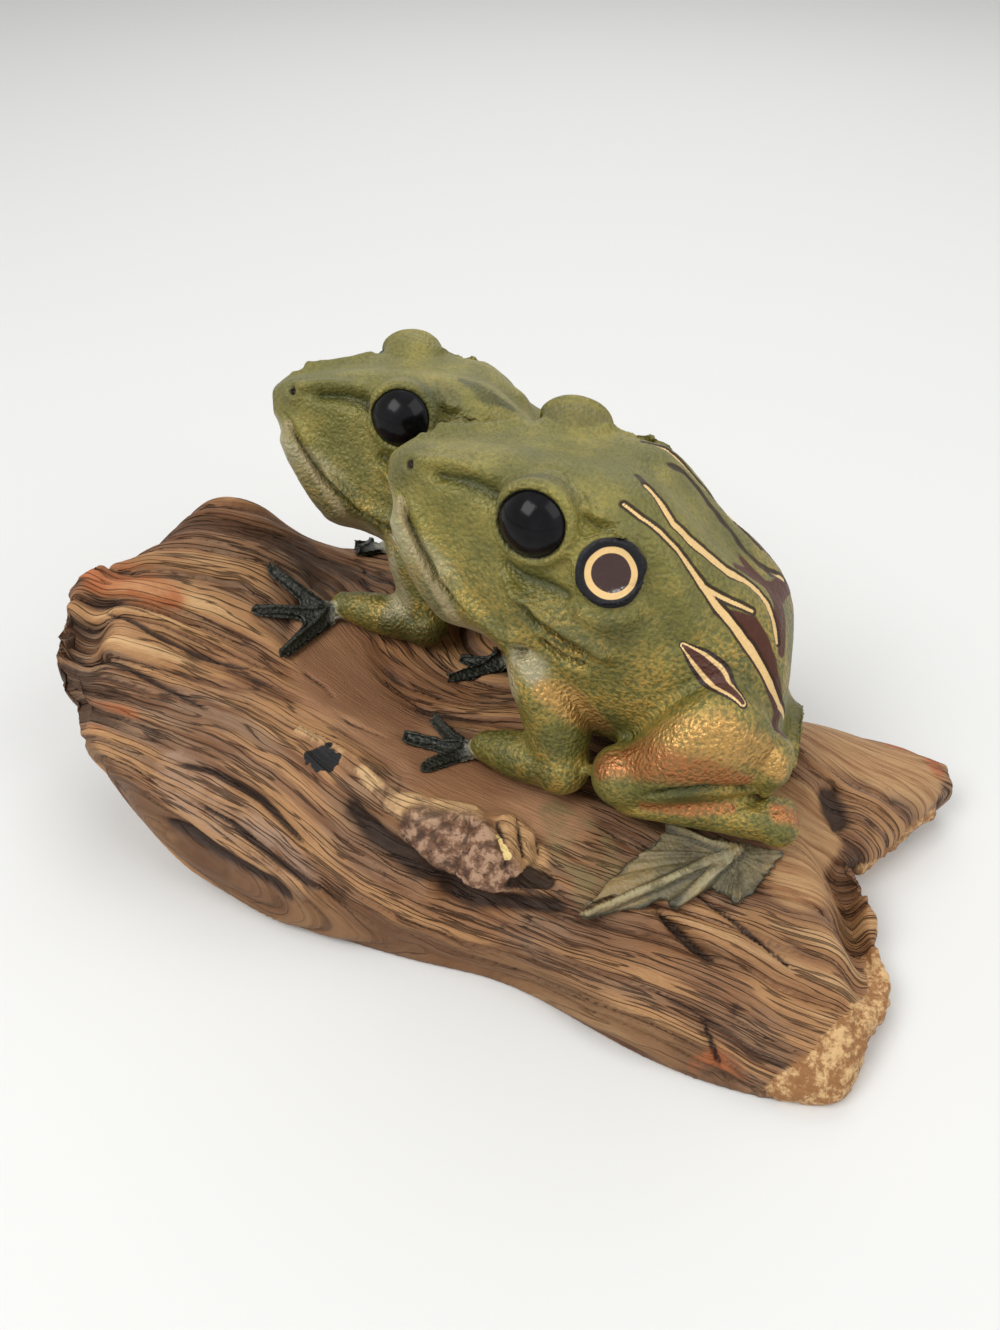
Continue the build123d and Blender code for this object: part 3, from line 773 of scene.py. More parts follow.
def paintedSkin(name):
    material, shader, read = newMaterial(name)
    over = partial(layOver, frogColours)

    def within(value, mark):
        return band(value, *markEdges[mark])

    place = objectPlace(shader)
    paint = placeGroup(shader, hammeredPaint, {"Place": place, "Lump Size": 0.75, "Dust": 0.6})
    blotch = noiseOf(place, 55.0, 2.0)
    worn = band(noiseOf(place, 150.0, 4.0), 0.2, 0.5)
    ahead, out, up, stripe, leaf, drum, marked, hand = (
        read(label) for label in ("ahead", "out", "up", "stripe", "leaf", "drum", "marked", "hand"))
    low = band(up, -4.0, -26.0)  # more gold low on the sides than on the crown
    gold = times(paint["Gold"], plus(0.25, low), clamp=True)
    # pale grey throat in front, between the mouth line and the arm
    front = times(times(band(ahead, -2.0, 8.0), band(out, 15.5, 11.0)), band(up, -52.0, -45.0))
    below = plus(up, times(ahead, -0.62))
    throat = larger(times(front, band(below, -21.0, -24.5)), read("throat"))
    peaks = plus(0.5, times(band(paint["Height"], 0.1, 0.35), 0.5))
    # gold paint and a painted highlight on the thigh's top and the upper arm
    legGoldAndHighlight = times(read("thighGold"), peaks)
    legCopper = times(read("copper"), peaks)
    patch = band(plus(read("patch"), times(blotch, 1.2)), 0.9, 0.3)
    edge = times(within(stripe, "stripeDark"), 0.92)
    black, cream, brown, gloss = (times(within(drum, f"drum{ring}"), marked)
                                  for ring in ("Black", "Cream", "Brown", "Gloss"))
    palm = plus(read("palm"), times(noiseOf(place, 480.0), 5.0))
    colour = coated(
        over, over("green", band(paint["Cloud"], 0.35, 0.7), "paleGreen"),
        (band(blotch, 0.52, 0.68), "deepGreen", 0.55),
        # painted shade: the hollows of the paint's lumps are darker green, more so low on the sides
        (times(band(paint["Height"], 0.32, 0.12), plus(0.2, times(low, 0.3))), "deepGreen"),
        (gold, "gold"),
        (times(throat, worn), "grey", 0.8),
        (times(read("jaw"), worn), "jaw", 0.8),
        # gold paint and a painted highlight on the thigh's top and the upper arm
        (legGoldAndHighlight, "thighGold", 0.8),
        (legCopper, "copper"),
        # dark blotches on the rear frog's back, and painted shade under its arm
        (read("rearDark"), "deepGreen", 0.75),
        (read("rearPale"), "grey", 0.6),
        (read("rearOrange"), "orange", 0.7),
        (band(read("shade"), 0.35, 1.0), "deepGreen", 0.75),
        (patch, "brown"),
        (edge, "darkEdge"),
        (within(stripe, "stripeCream"), "cream"),
        (within(leaf, "leafDark"), "darkEdge"),
        (within(leaf, "leafCream"), "cream"),
        (within(leaf, "leafBrown"), "brown"),
        (black, "black"),
        (cream, "cream"),
        (brown, "drumBrown"),
        # painted shade: the lid is darker where it meets the eye bead
        (within(read("eye"), "lid"), "lid", 0.9),
        (within(hand, "cuff"), "grey", 0.8),
        (within(hand, "fingers"), over("handDark", within(palm, "fingersPale"), "handGrey")),
        # painted shade: the nostril's carved pit is painted dark
        (within(read("nostril"), "nostril"), "darkEdge"),
    )
    bare = minus(1.0, larger(larger(edge, patch), black), clamp=True)
    foil = larger(larger(legCopper, legGoldAndHighlight), gold)
    fill(shader, {
        "Base Color": colour,
        "Metallic": times(plus(0.15, times(foil, 0.6)), bare),
        "Roughness": minus(minus(0.48, times(foil, 0.14)), times(gloss, 0.28)),
        "Specular IOR Level": plus(plus(0.2, times(bare, 0.3)), times(gloss, 0.4)),
    })
    bumpOf(shader, times(paint["Height"], plus(0.3, times(bare, 0.7))), 0.42)
    return material


def greyFoot(name):
    material, shader, read = newMaterial(name)
    over = partial(layOver, frogColours)
    place = objectPlace(shader)
    paint = placeGroup(shader, hammeredPaint, {"Place": place, "Lump Size": 0.7, "Dust": 0.3})
    streak = noiseOf(place, 260.0)
    ridge = read("ridge")
    colour = coated(
        over, over("footGrey", band(paint["Cloud"], 0.35, 0.6), "footPale"),
        (band(noiseOf(place, 90.0), 0.42, 0.6), "footWarm", 0.6),
        (band(streak, 0.5, 0.7), "footDark", 0.5),
        # painted shade: darker lines at the foot of each toe ridge
        (times(band(ridge, 0.75, 0.45), band(ridge, 0.05, 0.35)), "handDark", 0.6),
        # painted highlight: paler tops of the toe ridges
        (times(band(ridge, 0.6, 0.98), band(streak, 0.35, 0.6)), "paleGrey", 0.65),
        # painted shade: the foot's steep sides are darker
        (read("rim"), "handDark", 0.85),
    )
    fill(shader, {"Base Color": colour, "Roughness": 0.5})
    bumpOf(shader, paint["Height"], 0.3)
    return material


def eyeGloss(name):
    material, shader = newMaterial(name)[:2]
    place = objectPlace(shader)
    cloud = noiseOf(place, 160.0)
    colour = layOver(frogColours, "bead", band(cloud, 0.4, 0.7), "beadCloud")
    fill(shader, {"Base Color": colour, "Roughness": plus(0.06, times(cloud, 0.2)), "IOR": 1.24})
    bumpOf(shader, noiseOf(place, 500.0, 2.0), 0.05)
    return material


def zincSteel(name):
    material, shader = newMaterial(name)[:2]
    place = objectPlace(shader)
    cloud = noiseOf(place, 300.0, 4.0)
    colour = layOver(frogColours, "zinc", cloud, "zincPale")
    fill(shader, {"Base Color": colour, "Metallic": 1.0, "Roughness": plus(0.25, times(cloud, 0.3))})
    bumpOf(shader, noiseOf(place, 900.0, 2.0), 0.04)
    return material


# building the frogs

# rim of an eyelid: the way that the eye looks, and its ring's place, radius and thickness in mm
eyelid = {"gaze": (0.12, 0.95, 0.22), "ahead": 2.7, "radius": 6.4, "thickness": 0.9}


def buildSkin(name, place, span, trees):
    # trees are the front frog's surface before and after its swells; the first call makes them
    parts = ("foreleg", "hand", "hind_leg")
    nodes = [f"{name}_body"] + [f"{name}_{side}_{part}" for side in sides for part in parts]
    closing = frogShape["closing"]
    ahead, out, up = eyelid["gaze"]
    sizes = eyelid["radius"], eyelid["thickness"] + closing
    lids = []
    for turn in (1, -1):
        gaze = place.to_3x3() @ Vector((ahead, turn * out, up)).normalized()
        eye = place @ Vector((0, turn * span / 2, 0))
        lids.append(ringShape(eye + gaze * eyelid["ahead"], gaze, *sizes))
    skin = mergedSkin(f"{name}_skin", nodes, frogShape["voxel"], closing, frogShape["smoothing"], lids)
    bare = trees[0] if trees else surfaceTree(skin, place.inverted())
    swellPiece(skin, place, span, bare)
    trees = trees or (bare, surfaceTree(skin, place.inverted()))
    carveFrog(name, skin, place, span, trees[1])
    return skin, trees, nodes


# webbed feet: three toes with ridges, folds between them and a nibbled edge, in mm
webFoot = {
    "voxel": 0.35,
    "smoothing": 12,
    "toes": 3,
    "toesApart": 0.28,  # least angle between two toes
    "toeHalf": (1.2, 0.8),
    "toeRise": 0.75,
    "webSink": 0.35,
    "fold": 0.5,
    "lumps": (0.16, 2.4),
    "nibble": 0.6,
}


def reachOf(places, root):
    return np.hypot(places[:, 0] - root[0], places[:, 1] - root[1])


def turnOf(places, root):
    return np.arctan2(places[:, 1] - root[1], places[:, 0] - root[0])


def toeTips(node):
    # a foot's thickest place and its three farthest tips
    corners = bareCopy(node)[0]
    root = corners[corners[:, 2].argmax()]
    turns = turnOf(corners, root)
    tips = []
    for i in np.argsort(-reachOf(corners, root)):
        apart = [abs(math.remainder(turns[i] - turns[j], 2 * math.pi)) for j in tips]
        if len(tips) < webFoot["toes"] and all(gap > webFoot["toesApart"] for gap in apart):
            tips.append(i)
    return root, corners[tips]


def buildFoot(name, side):
    node = f"{name}_{side}_hind_foot"
    foot = mergedSkin(f"{name}_{side}_webFoot", [node], webFoot["voxel"], 0.0, webFoot["smoothing"])
    places, normals = surfaceOf(foot)
    flat = places * (1, 1, 0)
    root, tips = toeTips(node)
    ridge = np.zeros(len(places))
    for tip in tips:
        route = np.linspace(root, tip, 61) * (1, 1, 0)
        ridge = np.maximum(ridge, np.exp(-spreadOf(flat, route, webFoot["toeHalf"]) ** 2))
    turns, none = turnOf(places, root), np.zeros(len(places))
    folds = softNoise(np.stack([turns * 9, none, none], 1), 0.5)
    nibbles = softNoise(np.stack([turns * 6, reachOf(places, root) * 0.2, none], 1), 0.8)
    steep = np.abs(normals[:, 2])
    height, size = webFoot["lumps"]
    move = webFoot["toeRise"] * ridge - webFoot["webSink"] * (1 - ridge) + webFoot["fold"] * folds
    move = move * ramp(normals[:, 2], 0.2, 0.6) + height * layeredNoise(places, size)
    move += ramp(steep, 0.9, 0.5) * webFoot["nibble"] * nibbles
    movePoints(foot, places + normals * move[:, None])
    # the foot's steep sides, painted darker as shade, and its toe ridges
    paintValues(foot, {"rim": ramp(steep, 0.75, 0.3), "ridge": ridge})
    return foot


def buildEye(name, side):
    low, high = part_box(f"{name}_{side}_eye")
    rings = frogShape["beadRings"]
    bead = bmesh.new()
    bmesh.ops.create_uvsphere(bead, u_segments=2 * rings, v_segments=rings,
                              radius=(high - low).x / 2 * frogShape["beadGrowth"],
                              matrix=Matrix.Translation((low + high) / 2))
    mesh = bpy.data.meshes.new(f"{name}_{side}_bead")
    bead.to_mesh(mesh)
    bead.free()
    return addObject(mesh.name, mesh)


def finishPiece(piece, material, slot, *nodes):
    piece.data.polygons.foreach_set("use_smooth", [True] * len(piece.data.polygons))
    piece.data.update()
    piece.data.materials.clear()
    piece.data.materials.append(material)
    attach(piece, "root")
    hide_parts(*nodes)


makeCamera()
skinPaint = paintedSkin("olive and gold paint")
footPaint = greyFoot("grey foot paint")
eyePaint = eyeGloss("black bead")
steel = zincSteel("zinc plated steel")

skinTrees = None
for name, (place, span) in frogs.items():
    skin, skinTrees, nodes = buildSkin(name, place, span, skinTrees)
    finishPiece(skin, skinPaint, "painted_green", *nodes)
    for side in sides:
        finishPiece(buildFoot(name, side), footPaint, "painted_grey", f"{name}_{side}_hind_foot")
        finishPiece(buildEye(name, side), eyePaint, "eye_bead", f"{name}_{side}_eye")
    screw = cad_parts[f"{name}_screw"]
    screw.data.materials.clear()
    screw.data.materials.append(steel)
    print(name, "built,", len(skin.data.vertices), "points in its skin")


# driftwood

woodSkin = {
    "voxel": 0.7,
    "smoothing": 3,
    # furrows along the fibres: depth, a shift of the noise, and its size along, across and down
    "furrows": ((2.0, 0, (60.0, 4.4, 12.0)), (1.5, 40, (36.0, 2.3, 8.0)), (0.45, 80, (22.0, 1.5, 6.0))),
    # share of the furrows that is missing there
    "smoother": (("scoop", 0.9), ("bulges", 0.5), ("moss", 0.6), ("calm", 0.75)),
    "raggedEnd": (72, 88),  # deeper furrows at the left end
    "calmRelief": 0.62,
    "swell": (1.2, 24.0),  # height and size of the wood's unevenness
    "wander": ((0.5, 16.0), (0.3, 4.5)),
    "markWander": ((0.12, 6.0),),
    "crackWander": ((0.3, 4.0),),
    "crackEnds": (7, 0.2),
    "jagged": ((0.22, 2.6), (0.12, 1.1)),
    "crest": 1.1,
    "bulge": (1.4, 11.0),
    "bark": (1.3, (1.7, 2.4, 1.6)),
    "barkGrit": (0.3, 1.5),
    "splinter": (0.9, (1.4, 1.4, 9.0)),
    "fracture": (1.1, 2.0),
    "hole": 1.8,
    "restingFace": (0.4, 2.5),  # no relief below, full relief above
    "past": 1.5,  # how far it may reach past the CAD box
}

# the way of the fibres, drawn on the photograph from left to right
fibreRoutes = (
    ((90, 600), (160, 625), (230, 655), (290, 690)),
    ((75, 640), (150, 668), (220, 700), (300, 745)),
    ((70, 700), (120, 722), (180, 745), (240, 775), (320, 830)),
    ((100, 770), (160, 800), (230, 850), (300, 905)),
    ((183, 505), (240, 530), (300, 560), (345, 590)),
    ((160, 560), (220, 590), (280, 625), (330, 655)),
    ((250, 690), (320, 740), (380, 800), (420, 850)),
    ((300, 800), (350, 850), (410, 895), (480, 930)),
    ((330, 870), (400, 905), (480, 940), (560, 975)),
    ((400, 900), (480, 925), (560, 950), (640, 985), (700, 1030)),
    ((560, 905), (640, 930), (720, 975), (800, 1040)),
    ((600, 885), (690, 905), (770, 940), (850, 985)),
    ((640, 865), (730, 880), (810, 905), (880, 945)),
    ((520, 985), (590, 1020), (660, 1045), (740, 1070)),
    ((800, 720), (850, 740), (900, 760), (935, 775)),
    ((795, 770), (830, 800), (860, 830), (890, 845)),
)

# places of their own finish, and places of painted light and shade: route in pixels, half widths in mm
woodMarks = {
    "scoop": (((330, 640), (340, 690), (400, 735), (470, 785), (560, 810)), (9.0, 10.0, 10.0, 9.0, 7.0)),
    "bulges": (((175, 775), (215, 810), (262, 850), (290, 880)), (5.0, 7.0, 7.0, 5.0)),
    # painted shade on the steep face under the crest
    "darkFace": (((350, 795), (390, 845), (440, 885), (520, 915)), (4.0, 7.0, 7.0, 5.0)),
    "crest": (((299, 729), (355, 765), (392, 802), (425, 812), (471, 815)), (0.8, 1.1, 1.4, 2.6, 2.4)),
    "moss": (((560, 815), (585, 850), (600, 885)), (4.0, 6.0, 5.0)),
    # painted shade along the low front edge
    "lowFace": (((88, 748), (120, 790), (170, 838), (240, 892), (330, 928), (450, 962), (600, 1018),
        (720, 1072)), (3.0, 5.0, 6.0, 6.0, 6.0, 5.0, 4.5, 4.0)),
    "prong": (((798, 725), (850, 745), (895, 762), (925, 785)), (7.0, 9.0, 9.0, 6.0)),
    "besideFoot": (((796, 800), (812, 840), (800, 880)), (6.0, 7.0, 6.0)),
    # painted light on the two lobes, which are drawn lighter
    "leftLobe": (((95, 600), (160, 628), (230, 668), (300, 715)), (8.0, 12.0, 12.0, 7.0)),
    "rightLobe": (((700, 925), (775, 955), (845, 990)), (7.0, 11.0, 9.0)),
    "burl": (((422, 830), (450, 845), (482, 862), (500, 876)), (4.5, 6.8, 6.8, 4.5)),
    "endGrain": (((514, 828), (524, 842), (530, 856)), (3.6, 4.4, 3.8)),
    "burlHole": (((512, 882), (530, 877), (548, 880)), (1.4, 2.2, 1.6)),
}

# small sharp spots, in the same way: a pale chip on the knot, and a sooty mark
woodSpots = {
    "chip": (((498, 836), (506, 857)), (0.45, 0.6)),
    "soot": (((313, 756), (323, 759), (333, 763)), (1.7, 2.5, 1.8)),
}

# route in pixels, depth and half widths in mm
woodCracks = (
    (((654, 904), (675, 925), (696, 945), (720, 962)), 3.0, (0.5, 0.9, 1.1, 0.6)),
    (((688, 886), (730, 918), (764, 945), (799, 976)), 1.5, (0.5, 0.6, 0.5)),
    (((702, 1017), (712, 1045), (720, 1069)), 1.5, (0.6, 0.8, 0.6)),
    (((302, 669), (325, 686), (336, 698)), 0.8, (0.3, 0.5, 0.3)),
    (((335, 712), (352, 724), (372, 732), (388, 739)), 0.9, (0.3, 0.6, 0.3)),
    (((153, 821), (186, 835), (226, 858), (272, 884), (299, 908)), 2.4, (1.5, 2.2, 2.2, 1.4)),
    (((168, 762), (215, 772), (262, 800), (310, 850)), 1.6, (0.7, 1.0, 1.0, 0.7)),
    (((190, 800), (232, 822), (275, 858), (330, 900)), 1.2, (0.5, 0.8, 0.8, 0.5)),
    (((96, 610), (150, 630), (210, 655), (262, 668)), 1.3, (0.5, 0.8, 0.8, 0.4)),
    (((75, 655), (130, 668), (180, 690), (220, 712)), 1.3, (0.5, 0.8, 0.8, 0.4)),
    (((340, 792), (375, 835), (420, 872), (470, 897)), 2.6, (2.2, 3.0, 3.0, 2.2)),
    (((425, 884), (470, 903), (530, 903), (575, 905)), 2.6, (1.6, 2.2, 2.4, 1.6)),
    (((496, 818), (502, 845), (506, 870)), 1.3, (0.5, 0.7, 0.5)),
    (((514, 816), (520, 840), (523, 862)), 1.2, (0.4, 0.6, 0.4)),
    (((532, 822), (537, 842), (538, 862)), 1.0, (0.4, 0.5, 0.4)),
    (((828, 778), (838, 805), (850, 832)), 2.4, (2.4, 3.4, 2.6)),
)

# pale broken faces, and places with an orange tint: route in pixels, half widths in mm
brokenEdges = (
    (((904, 958), (884, 1000), (850, 1038), (815, 1070), (786, 1092)), (2.4, 3.0, 3.2, 3.2, 2.8)),
    (((895, 1010), (872, 1050), (855, 1085), (825, 1102), (795, 1104)), (3.5, 4.5, 5.0, 4.5, 3.0)),
    (((936, 826), (912, 846), (890, 858), (866, 874)), (2.4, 3.0, 3.0, 1.8)),
)

orangeTints = (
    (((86, 578), (115, 580), (145, 588), (172, 598)), (3.5, 5.0, 5.0, 3.0)),
    (((58, 670), (66, 694), (95, 708), (125, 718)), (3.0, 4.0, 4.0, 2.5)),
    (((900, 735), (925, 748), (938, 770)), (2.5, 3.0, 2.5)),
    (((700, 1068), (716, 1062), (735, 1075)), (2.0, 2.5, 2.0)),
)

# the way of the fibres round the back, in mm from the ornament's origin
backRoutes = (
    ((-84, 10, 40), (-66, 36, 40), (-45, 56, 30), (-10, 70, 22), (20, 74, 18), (44, 60, 16),
        (56, 40, 16), (90, 6, 12)),
    ((-72, 28, 22), (-60, 42, 16), (-42, 58, 10), (-10, 72, 6), (20, 76, 5), (44, 62, 5), (58, 40, 5)),
    ((-70, 30, 48), (-50, 44, 42), (-20, 56, 30), (10, 60, 24), (36, 54, 22), (52, 34, 22)),
)

# how far one soft hump of the fibre field reaches, in mm, and how hard its humps are held down
fibreField = {"reach": 17.0, "hold": 0.02}


def fitFibres(tree):
    # a value that stays the same along the fibres and grows by 1 for each mm across them: a
    # slanted plane and a sum of soft humps, fitted to the routes by least squares
    routes = [laidRoute(tree, pixels, step=2.5) for pixels in fibreRoutes]
    for points in backRoutes:
        stops = [Vector(a).lerp(Vector(b), i / 8) for a, b in zip(points, points[1:]) for i in range(8)]
        routes.append(np.array([tuple(tree.find_nearest(stop)[0]) for stop in stops]))
    ways, acrossWays = [], []
    for route in routes:
        way = np.gradient(route, axis=0)
        ways.append(way / np.linalg.norm(way, axis=1)[:, None])
        faces = np.array([tuple(tree.find_nearest(Vector(p))[1]) for p in route])
        across = np.cross(ways[-1], faces)
        acrossWays.append(across / np.linalg.norm(across, axis=1)[:, None])
    spots, ways, acrossWays = (np.concatenate(values) for values in (routes, ways, acrossWays))
    centres = spots[::4]
    apart = spots[:, None] - centres[None]
    spread = 2 * fibreField["reach"] ** 2
    slopes = -apart * 2 / spread * np.exp(-(apart ** 2).sum(2) / spread)[:, :, None]
    rows = [np.concatenate([way, (slopes * way[:, None]).sum(2)], 1) for way in (ways, acrossWays)]
    steady = np.eye(3 + len(centres)) * fibreField["hold"]
    steady[:3] = 0
    wanted = np.concatenate([np.zeros(len(spots)), np.ones(len(spots)), np.zeros(len(steady))])
    factors = np.linalg.lstsq(np.concatenate(rows + [steady]), wanted, rcond=None)[0]

    def across(places):
        total = places @ factors[:3]
        for centre, factor in zip(centres, factors[3:]):
            total += factor * np.exp(-((places - centre) ** 2).sum(1) / spread)
        return total

    return across, ways.mean(0) / np.linalg.norm(ways.mean(0))


def buildDriftwood():
    wood = mergedSkin("driftwood", ["driftwood_base"], woodSkin["voxel"], 0.0, woodSkin["smoothing"])
    places, normals = surfaceOf(wood)
    tree = surfaceTree(wood)
    lay = partial(laidRoute, tree)
    acrossOf, mainWay = fitFibres(tree)
    along = places @ mainWay
    across = acrossOf(places) + noiseSum(places, woodSkin["wander"])
    fibres = np.stack([along, across, places[:, 2] * 0.2], 1)

    # where each finish, and each place of painted light and shade, lies
    uneven = 1 + noiseSum(places, woodSkin["markWander"])
    masks = {name: markShare(places, lay, [mark], uneven, 1.2, 0.7) for name, mark in woodMarks.items()}
    jagged = 1 + noiseSum(places, woodSkin["jagged"])
    broken = markShare(places, lay, brokenEdges, jagged, 1.1, 0.95)
    masks["calm"] = np.maximum(masks.pop("prong"), masks.pop("besideFoot"))
    # painted light: the two lobes are lighter
    masks["light"] = np.maximum(masks.pop("leftLobe"), masks.pop("rightLobe"))
    burl, hole = masks["burl"], masks.pop("burlHole")
    rough = (1 - burl) * (1 - masks["endGrain"]) * (1 - broken)
    rough *= 1 + 0.7 * ramp(-places[:, 0], *woodSkin["raggedEnd"])
    for name, less in woodSkin["smoother"]:
        rough *= 1 - less * masks[name]

    # relief
    furrows = [np.sqrt(np.abs(softNoise(fibres + shift, size))) for _, shift, size in woodSkin["furrows"]]
    move = rough * sum(row[0] * (furrow - 0.6) for row, furrow in zip(woodSkin["furrows"], furrows))
    height, size = woodSkin["swell"]
    move += height * layeredNoise(places, size, 2) * (1 - burl)
    height, size = woodSkin["bulge"]
    move += woodSkin["crest"] * masks["crest"] + height * masks["bulges"] * (0.4 + softNoise(places, size))
    height, size = woodSkin["bark"]
    grit, gritSize = woodSkin["barkGrit"]
    scales = np.abs(softNoise(places, size))
    move += burl * (height * (0.5 + np.sqrt(scales)) + grit * layeredNoise(places, gritSize, 2))
    height, size = woodSkin["splinter"]
    move += masks["endGrain"] * (height - 0.3 + np.abs(softNoise(places, size)))
    height, size = woodSkin["fracture"]
    move += broken * height * layeredNoise(places, size) - woodSkin["hole"] * hole
    # painted shade: the carved cracks and the hole below the knot are painted dark
    dark = hole
    widen = 1 + noiseSum(places, woodSkin["crackWander"])
    for route, depth, radii in woodCracks:
        shape = grooveShape(places, lay(route), radii, *woodSkin["crackEnds"], widen)
        move -= depth * shape
        dark = np.maximum(dark, shape)
    move *= ramp(places[:, 2], *woodSkin["restingFace"])
    fresh = places + normals * move[:, None]
    fresh[:, 2] = np.maximum(fresh[:, 2], 0.0)
    low, high = (np.array(corner) / mm for corner in cadBox)
    movePoints(wood, np.clip(fresh, low - woodSkin["past"], high + woodSkin["past"]))

    grooves = furrows[0] * 0.35 + furrows[1] * 0.65
    calm = woodSkin["calmRelief"]
    values = {
        "relief": calm + (grooves - calm) * rough,
        "along": along,
        "across": across,
        "scales": scales,
        "broken": broken,
        "dark": dark,
        "orange": markShare(places, lay, orangeTints, 1.0, 1.4, 0.4),
    }
    for name, (route, radii) in woodSpots.items():
        values[name] = np.minimum(spreadOf(places, lay(route), radii), farAway)
    paintValues(wood, {**values, **masks})
    print("driftwood built,", len(places), "points, relief from", grooves.min(), "to", grooves.max())
    return wood


woodColours = {
    "tan": (186, 139, 92),
    "pale": (226, 186, 134),
    "mid": (146, 101, 64),
    "brown": (110, 72, 45),
    "dark": (40, 25, 17),
    "greyBrown": (142, 112, 86),
    "lilac": (168, 138, 116),
    "orange": (176, 98, 54),
    "scoopDark": (142, 100, 72),
    "scoopPale": (184, 138, 102),
    "moss": (126, 116, 78),
    "bark": (112, 80, 60),
    "flake": (176, 142, 116),
    "barkDark": (52, 32, 26),
    "endGrain": (190, 148, 102),
    "fracture": (216, 178, 126),
    "fractureDark": (150, 104, 62),
    "soot": (14, 13, 13),
    "shade": (96, 68, 46),
    "calmTan": (190, 150, 104),
    "cream": (238, 208, 140),
}


def makeFibreStreaks():
    # streaks that run along the fibres, from coordinates along and across them
    inputs = {"Along": 0.0, "Across": 0.0, "Stretch": 14.0, "Width": 1.2}
    group, given, result = newGroup("fibreStreaks", inputs, ("Streak", "Thread", "Groove"))
    spot = group.nodes.new("ShaderNodeCombineXYZ")
    length = times(given["Stretch"], given["Width"])
    fill(spot, {"X": divided(given["Along"], length), "Y": divided(given["Across"], given["Width"])})
    spot = spot.outputs[0]
    apart = calculate("ABSOLUTE", minus(noiseOf(spot, 0.9, 2.0, 0.45), 0.5), 0.0)
    fill(result, {
        "Streak": noiseOf(spot, 1.0, 4.0, 0.6),
        "Thread": noiseOf(spot, 3.1, 3.0, 0.65),
        "Groove": band(apart, 0.035, 0.0),
    })
    return group


fibreStreaks = makeFibreStreaks()


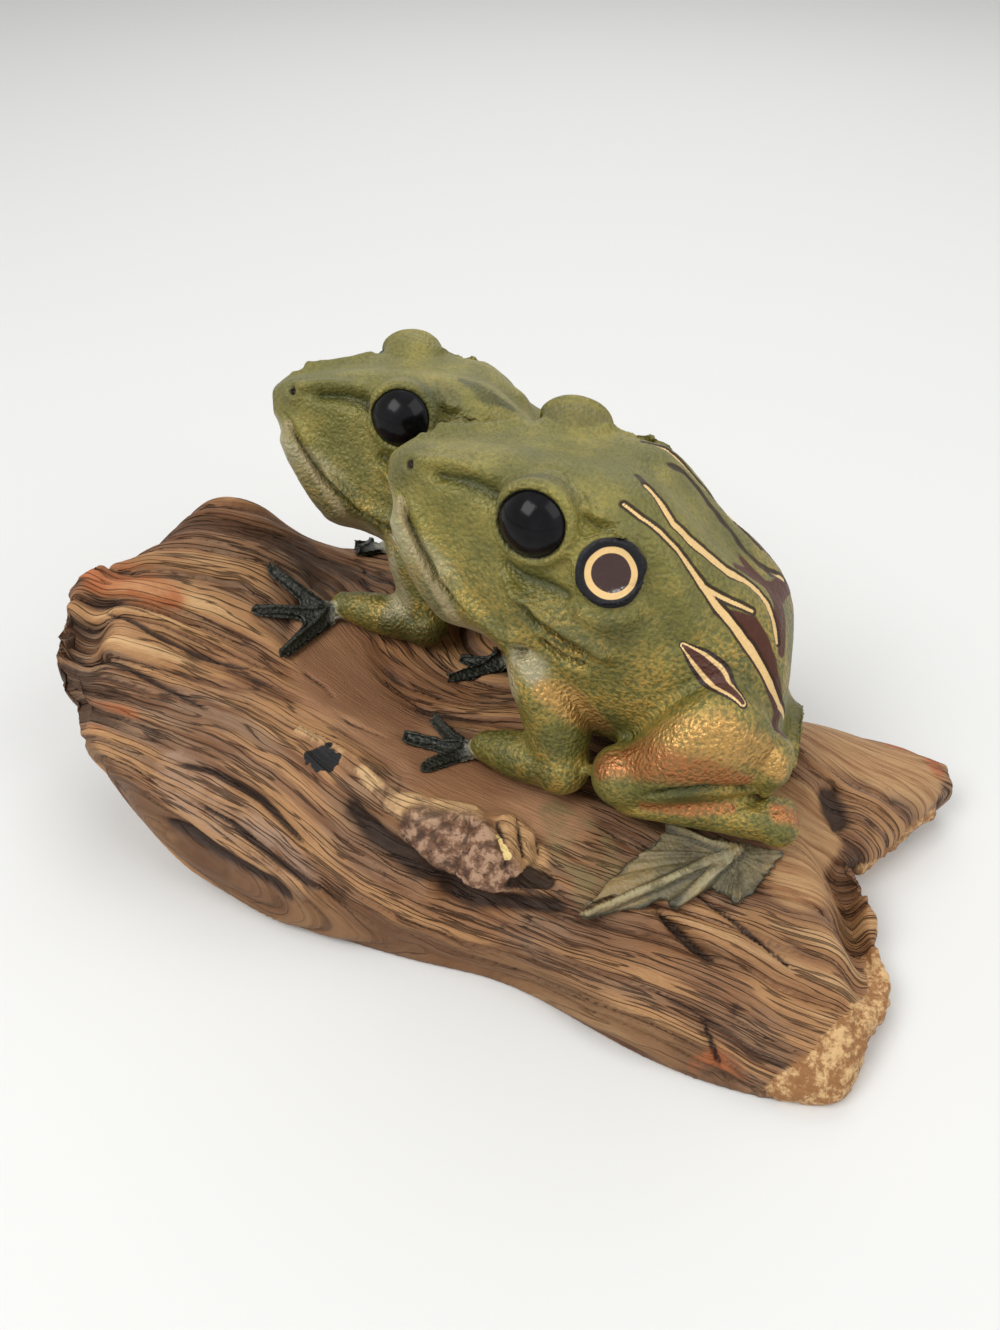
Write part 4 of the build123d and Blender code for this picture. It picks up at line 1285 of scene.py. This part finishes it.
def weatheredWood(name):
    material, shader, read = newMaterial(name)
    over = partial(layOver, woodColours)
    place = objectPlace(shader)
    fibres = placeGroup(shader, fibreStreaks,
                        {"Along": read("along"), "Across": read("across"), "Stretch": 18.0, "Width": 1.15})
    streak, thread = fibres["Streak"], fibres["Thread"]
    burl, scoop, broken = (read(label) for label in ("burl", "scoop", "broken"))
    calm = times(read("calm"), 0.8)
    # painted shade along the low front edge
    low = times(read("lowFace"), 0.65)
    smooth = scoop
    for mask in (broken, burl, calm, low):
        smooth = larger(smooth, mask)
    slits = times(fibres["Groove"], minus(1.0, smooth), clamp=True)
    cloud = noiseOf(place, 32.0)
    uneven = band(noiseOf(place, 140.0, 4.0, 0.65), 0.36, 0.6)
    # the relief's ridges are painted lighter and its grooves darker: grain colour together with painted
    # highlight and painted shade
    lightness = plus(plus(read("relief"), times(minus(thread, 0.5), 0.5)), times(read("light"), 0.09))
    # painted shade: the steep face under the crest loses the ridges' lighter colour
    lit = minus(1.0, times(read("darkFace"), 0.75))
    flakes = noiseOf(place, 430.0, 4.0, 0.65)
    crevice = larger(band(read("scales"), 0.16, 0.04), band(flakes, 0.45, 0.37))
    bark = coated(over, over("bark", band(flakes, 0.46, 0.6), "flake"), (crevice, "barkDark", 0.85))
    tint = times(read("orange"), band(lightness, 0.35, 0.6))
    crumbs = noiseOf(place, 700.0, 4.0, 0.7)
    crumbled = plus(crumbs, times(noiseOf(place, 180.0), 0.6))
    smudge = plus(read("soot"), times(noiseOf(place, 420.0), 2.4))
    colour = coated(
        over, over("mid", band(cloud, 0.35, 0.65), "greyBrown"),
        (band(streak, 0.42, 0.66), "brown"),
        (times(read("bulges"), uneven), "lilac", 0.75),
        # painted highlight on the ridges of the relief
        (times(band(lightness, 0.48, 0.70), lit), "tan", 0.8),
        (times(band(lightness, 0.74, 0.90), lit), "pale", 0.6),
        # painted shade in the grooves of the relief
        (band(lightness, 0.38, 0.22), "dark", 0.75),
        (slits, "dark", 0.7),
        (band(noiseOf(place, 26.0, 2.0), 0.5, 0.66), "brown", 0.4),
        (low, "shade"),
        (calm, over("calmTan", band(streak, 0.4, 0.66), "mid")),
        (scoop, over("scoopDark", band(cloud, 0.4, 0.62), "scoopPale"), 0.8),
        (times(read("moss"), uneven), "moss", 0.65),
        (times(read("crest"), uneven), "pale", 0.75),
        (burl, bark, 0.9),
        (read("endGrain"), over("brown", band(thread, 0.3, 0.5), "endGrain"), 0.85),
        (times(tint, plus(0.5, times(uneven, 0.35))), "orange"),
        (broken, over("fractureDark", band(crumbled, 0.72, 0.95), "fracture")),
        # painted shade in the carved cracks and the hole below the knot
        (band(read("dark"), 0.3, 0.8), "dark", 0.92),
        (band(read("chip"), 1.15, 0.85), "cream"),
        (band(smudge, 2.3, 2.1), "soot"),
    )
    roughness = plus(0.42, times(streak, 0.3))
    fill(shader, {"Base Color": colour, "Specular IOR Level": 0.3, "Roughness": roughness})
    height = minus(plus(times(thread, 0.7), times(crumbs, 0.3)), times(slits, 1.1))
    bumpOf(shader, plus(height, times(times(flakes, 1.5), burl)), 0.5)
    return material


wood = buildDriftwood()
finishPiece(wood, weatheredWood("weathered driftwood"), "driftwood", "driftwood_base")


# floor, lamps and world

studio = {
    "floorSize": 3.0,
    "floor": (226, 226, 224),
    "lamps": (
        {"place": (-0.45, -0.35, 0.75), "size": 0.5, "power": 5.2},
        {"place": (0.55, -0.25, 0.6), "size": 0.6, "power": 2.4},
        {"place": (0.1, 0.6, 0.7), "size": 0.6, "power": 2.2},
    ),
    "aim": (0, 0, 0.03),
    "worldStrength": 0.42,
    "seenStrength": 0.92,  # how bright the world itself looks
}


def seenDirectly(tree):
    # 1 where the camera sees the world, by itself or in and through something glossy
    path = tree.nodes.new("ShaderNodeLightPath").outputs
    seen = plus(path["Is Camera Ray"], path["Is Glossy Ray"], clamp=True)
    return plus(seen, path["Is Transmission Ray"], clamp=True)


def buildStudio():
    half = studio["floorSize"] / 2
    corners = np.array(((-half, -half, 0), (half, -half, 0), (half, half, 0), (-half, half, 0))) / mm
    mesh = newMesh("floor", corners, [(0, 1, 2, 3)])
    material, shader = newMaterial("pale floor")[:2]
    fill(shader, {"Base Color": linear(studio["floor"]), "Roughness": 0.7})
    mesh.materials.append(material)
    addObject("floor", mesh)
    for number, lamp in enumerate(studio["lamps"]):
        light = bpy.data.lights.new(f"lamp{number}", "AREA")
        light.size = lamp["size"]
        light.energy = lamp["power"]
        holder = addObject(f"lamp{number}", light)
        holder.location = lamp["place"]
        aim = Vector(studio["aim"]) - holder.location
        holder.rotation_euler = aim.to_track_quat("-Z", "Y").to_euler()
    world = bpy.data.worlds.new("studio")
    world.use_nodes = True
    extra = studio["seenStrength"] - studio["worldStrength"]
    strength = plus(studio["worldStrength"], times(seenDirectly(world.node_tree), extra))
    fill(world.node_tree.nodes["Background"], {"Color": (1.0, 1.0, 1.0, 1), "Strength": strength})
    bpy.context.scene.world = world


buildStudio()
bpy.context.scene.view_settings.view_transform = "Standard"
print("studio ready")
